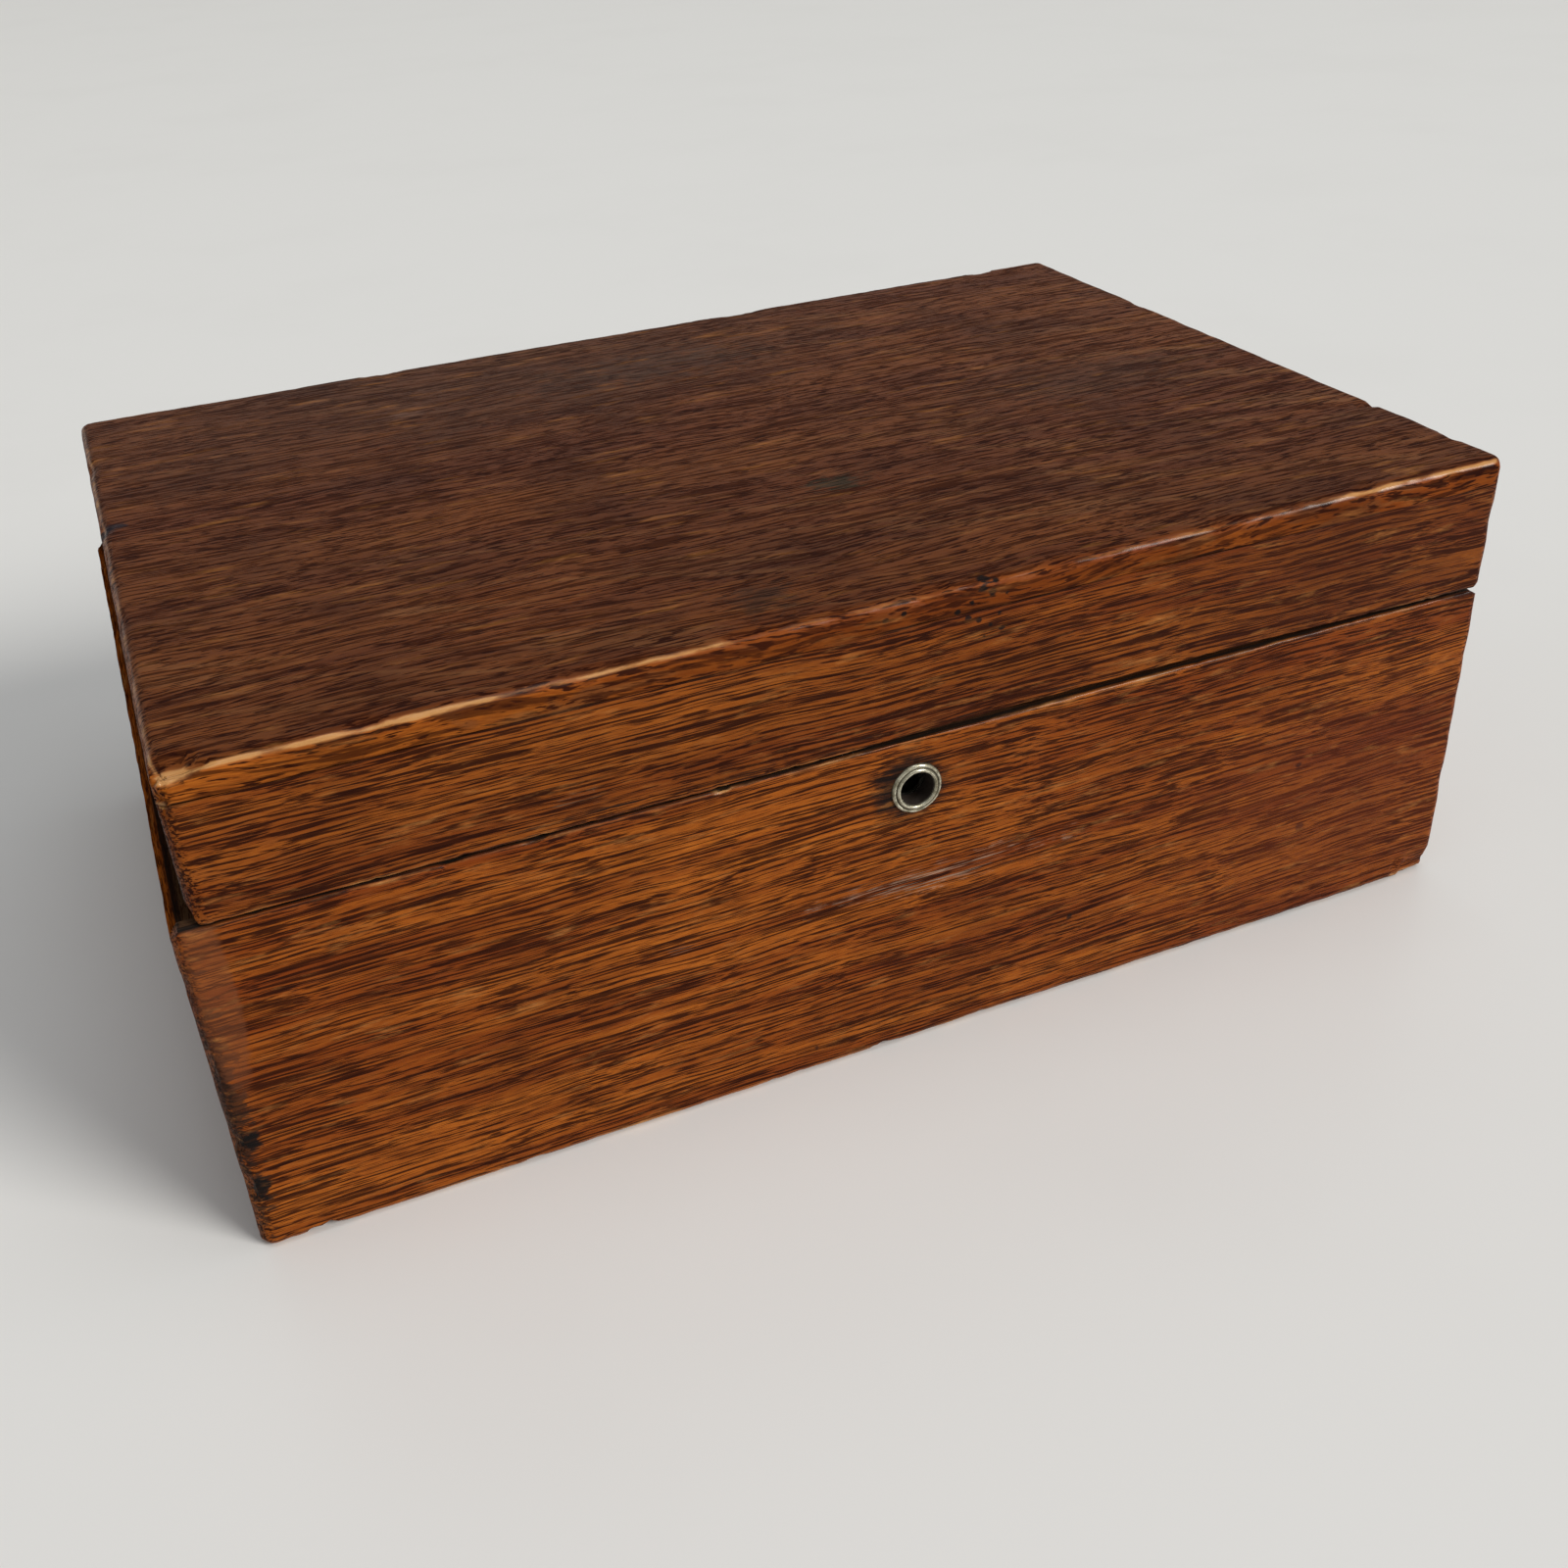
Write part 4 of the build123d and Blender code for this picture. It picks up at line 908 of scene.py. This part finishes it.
def addScrew(mesh, size, length, matrix, turn):
    # along -Z with its head's face at the origin, the slot turned by a small angle
    half, headDepth = size["slot"] / 2, size["headDepth"]
    edge = math.asin(half / size["head"])
    angles = sorted([edge, math.pi - edge, math.pi + edge, 2 * math.pi - edge] +
                    [2 * math.pi * k / size["around"] + 0.05 for k in range(size["around"])])
    lowRadius = size["head"] - (size["head"] - size["shank"]) / headDepth * size["slotDepth"]
    spin = matrix @ Matrix.Rotation(turn, 4, "Z")

    def point(radius, angle, z):
        return mesh.verts.new(spin @ Vector((radius * math.cos(angle) * mm, radius * math.sin(angle) * mm, z * mm)))

    halves = [[a for a in angles if start + edge - 1e-6 <= a <= start + math.pi - edge + 1e-6] for start in (0, math.pi)]
    rim = [[point(size["head"], a, 0) for a in part] for part in halves]  # the two raised parts of the head
    for upper in rim:
        mesh.faces.new(upper)
    lowEdge = math.asin(half / lowRadius)
    corners = [point(lowRadius, a, -size["slotDepth"])
               for a in (lowEdge, math.pi - lowEdge, math.pi + lowEdge, 2 * math.pi - lowEdge)]
    mesh.faces.new(corners)
    mesh.faces.new((rim[0][0], rim[0][-1], corners[1], corners[0]))
    mesh.faces.new((rim[1][0], rim[1][-1], corners[3], corners[2]))
    ringAngles = halves[0] + halves[1]
    ring = [point(size["shank"], a, -headDepth) for a in ringAngles]
    first = len(halves[0])
    for start, upper in ((0, rim[0]), (first, rim[1])):
        for k in range(len(upper) - 1):
            mesh.faces.new((upper[k], ring[start + k], ring[start + k + 1], upper[k + 1]))
    mesh.faces.new((rim[0][-1], ring[first - 1], ring[first], rim[1][0], corners[2], corners[1]))
    mesh.faces.new((rim[1][-1], ring[-1], ring[0], rim[0][0], corners[0], corners[3]))
    rows = int((length - headDepth) / size["pitch"] * size["rowsPerTurn"])
    for row in range(1, rows + 1):
        z = -headDepth - (length - headDepth) * row / rows
        nearTip = min(1.0, (length + z) / size["tip"])
        threaded = min(1.0, max(0.0, (-z - size["plain"]) / 1.0))
        nextRing = []
        for a in ringAngles:
            turnShare = (z / size["pitch"] + a / (2 * math.pi)) % 1.0
            ridge = max(0.0, 1 - abs(turnShare - 0.5) / size["ridge"])
            radius = size["shank"] - size["thread"] * threaded * (1 - ridge)
            nextRing.append(point(max(0.05, radius * (0.12 + 0.88 * nearTip)), a, z))
        for k in range(len(ring)):
            nxt = (k + 1) % len(ring)
            mesh.faces.new((ring[k], nextRing[k], nextRing[nxt], ring[nxt]))
        ring = nextRing
    mesh.faces.new(ring[::-1])


def screwBoxes(node):
    # the lowest and highest corners of each separate screw of a CAD node, in mm
    mesh = bmesh.new()
    mesh.from_mesh(cadNodes[node].data)
    bmesh.ops.remove_doubles(mesh, verts=mesh.verts, dist=1e-6)
    left, found = set(mesh.verts), []
    while left:
        group, queue = [], [left.pop()]
        while queue:
            vertex = queue.pop()
            group.append(np.array(vertex.co) / mm)
            for link in vertex.link_edges:
                other = link.other_vert(vertex)
                if other in left:
                    left.remove(other)
                    queue.append(other)
        group = np.array(group)
        found.append((group.min(0), group.max(0)))
    mesh.free()
    return sorted(found, key=lambda box: tuple(np.round(box[0], 2)))


def headPlace(low, high, facing):
    x, y, z = (low + high) / 2
    return {"up": (x, y, high[2]), "down": (x, y, low[2]), "back": (x, high[1], z)}[facing]


def makeScrews(node, body, facing, length, material):
    mesh = bmesh.new()
    chance = np.random.default_rng(len(node) * 7 + 3)
    towards = {"up": Matrix.Identity(4), "down": Matrix.Rotation(math.pi, 4, "X"),
               "back": Matrix.Rotation(-math.pi / 2, 4, "X")}[facing]
    for low, high in screwBoxes(node):
        matrix = Matrix.Translation([p * mm for p in headPlace(low, high, facing)]) @ towards
        addScrew(mesh, screw, length, matrix, chance.uniform(0, math.pi))
    bmesh.ops.recalc_face_normals(mesh, faces=mesh.faces)
    made = meshObject("slotted_" + node, mesh, material, screw["sharpAngle"])
    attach(made, body)
    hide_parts(node)


makeScrews("base_hinge_screws", "base", "up", 10.0, dullBrass)
makeScrews("lid_hinge_screws", "lid", "down", 10.0, dullBrass)
makeScrews("lock_screws", "base", "back", 8.0, dullSteel)
makeScrews("link_plate_screws", "lid", "down", 10.0, dullSteel)
makeScrews("moistener_rail_screws", "lid", "down", 10.5, dullSteel)
print("screws made")


# CAD pieces that keep their shape and get their finish here
finishes = {
    opalGlass: [name for name in cadNodes if "glass" in name],
    dullBrass: ["hinge_leaf_base_left", "hinge_leaf_base_right", "hinge_leaf_lid_left", "hinge_leaf_lid_right"],
    boltSteel: ["hinge_pin_left", "hinge_pin_right", "lock_bolt", "lock_spring", "lock_key_post"],
    dullSteel: ["lock_plate", "lock_cap", "link_plate"],
    caseNickel: ["moistener_case", "moistener_grille", "moistener_rails"],
    firedClay: ["moistener_block"],
}
for material, names in finishes.items():
    for name in names:
        piece = cadNodes[name]
        piece.data.materials.clear()
        piece.data.materials.append(material)
print("finishes given")


# Pale table, soft light. Sizes and places here are in metres.
table = {
    "half": 6.0,
    "colour": (0.80, 0.79, 0.765, 1),
    "speck": (0.55, 0.53, 0.50, 1),
    "cloudSize": 160.0,  # mm
    "cloudAmount": 0.05,
    "roughness": 0.34,
}


def makeTable(look):
    data = bpy.data.meshes.new("table")
    half = look["half"]
    data.from_pydata([(-half, -half, 0), (half, -half, 0), (half, half, 0), (-half, half, 0)], [], [(0, 1, 2, 3)])
    material, tree, shader, place = newMaterial("paleTable")
    spots = useGroup(tree, grime, {"Place": place, "Cloud Size": look["cloudSize"], "Amount": look["cloudAmount"]})
    send(tree, shader.inputs, {"Base Color": blendColour(tree, spots["Clouds"], look["colour"], look["speck"])})
    shader.inputs["Roughness"].default_value = look["roughness"]
    data.materials.append(material)
    made = bpy.data.objects.new("table", data)
    bpy.context.scene.collection.objects.link(made)


makeTable(table)

lightTarget = (0, 0, 0.05)
lights = [
    {"name": "key", "kind": "SUN", "at": (2.2, -2.7, 2.1), "angle": 25, "power": 2.65, "colour": (1.0, 0.985, 0.955)},
    {"name": "sky", "kind": "AREA", "at": (0.6, -0.4, 3.6), "size": 2.4, "power": 30.0, "colour": (0.95, 0.975, 1.0)},
]
for lamp in lights:
    data = bpy.data.lights.new(lamp["name"], lamp["kind"])
    if lamp["kind"] == "SUN":
        data.angle = math.radians(lamp["angle"])
    else:
        data.shape = "SQUARE"
        data.size = lamp["size"]
    data.energy = lamp["power"]
    data.color = lamp["colour"]
    made = bpy.data.objects.new(lamp["name"], data)
    made.location = lamp["at"]
    made.rotation_euler = (Vector(lightTarget) - Vector(lamp["at"])).to_track_quat("-Z", "Y").to_euler()
    bpy.context.scene.collection.objects.link(made)

room = {"light": (0.95, 0.97, 1.0, 1), "strength": 0.30, "wall": (0.56, 0.56, 0.535, 1)}


def makeWorld(look):
    world = bpy.data.worlds.new("softRoom")
    world.use_nodes = True
    tree = world.node_tree
    tree.nodes.clear()
    path = put(tree, "ShaderNodeLightPath").outputs
    seen = calc(tree, "MAXIMUM", path["Is Glossy Ray"], path["Is Transmission Ray"])
    seen = calc(tree, "MAXIMUM", path["Is Camera Ray"], seen)
    light = put(tree, "ShaderNodeBackground", {"Color": look["light"], "Strength": look["strength"]})
    wall = put(tree, "ShaderNodeBackground", {"Color": look["wall"], "Strength": 1.0})
    both = put(tree, "ShaderNodeMixShader", {0: seen, 1: light.outputs[0], 2: wall.outputs[0]})
    out = tree.nodes.new("ShaderNodeOutputWorld")
    tree.links.new(both.outputs[0], out.inputs["Surface"])
    bpy.context.scene.world = world


makeWorld(room)
print("table and light made")
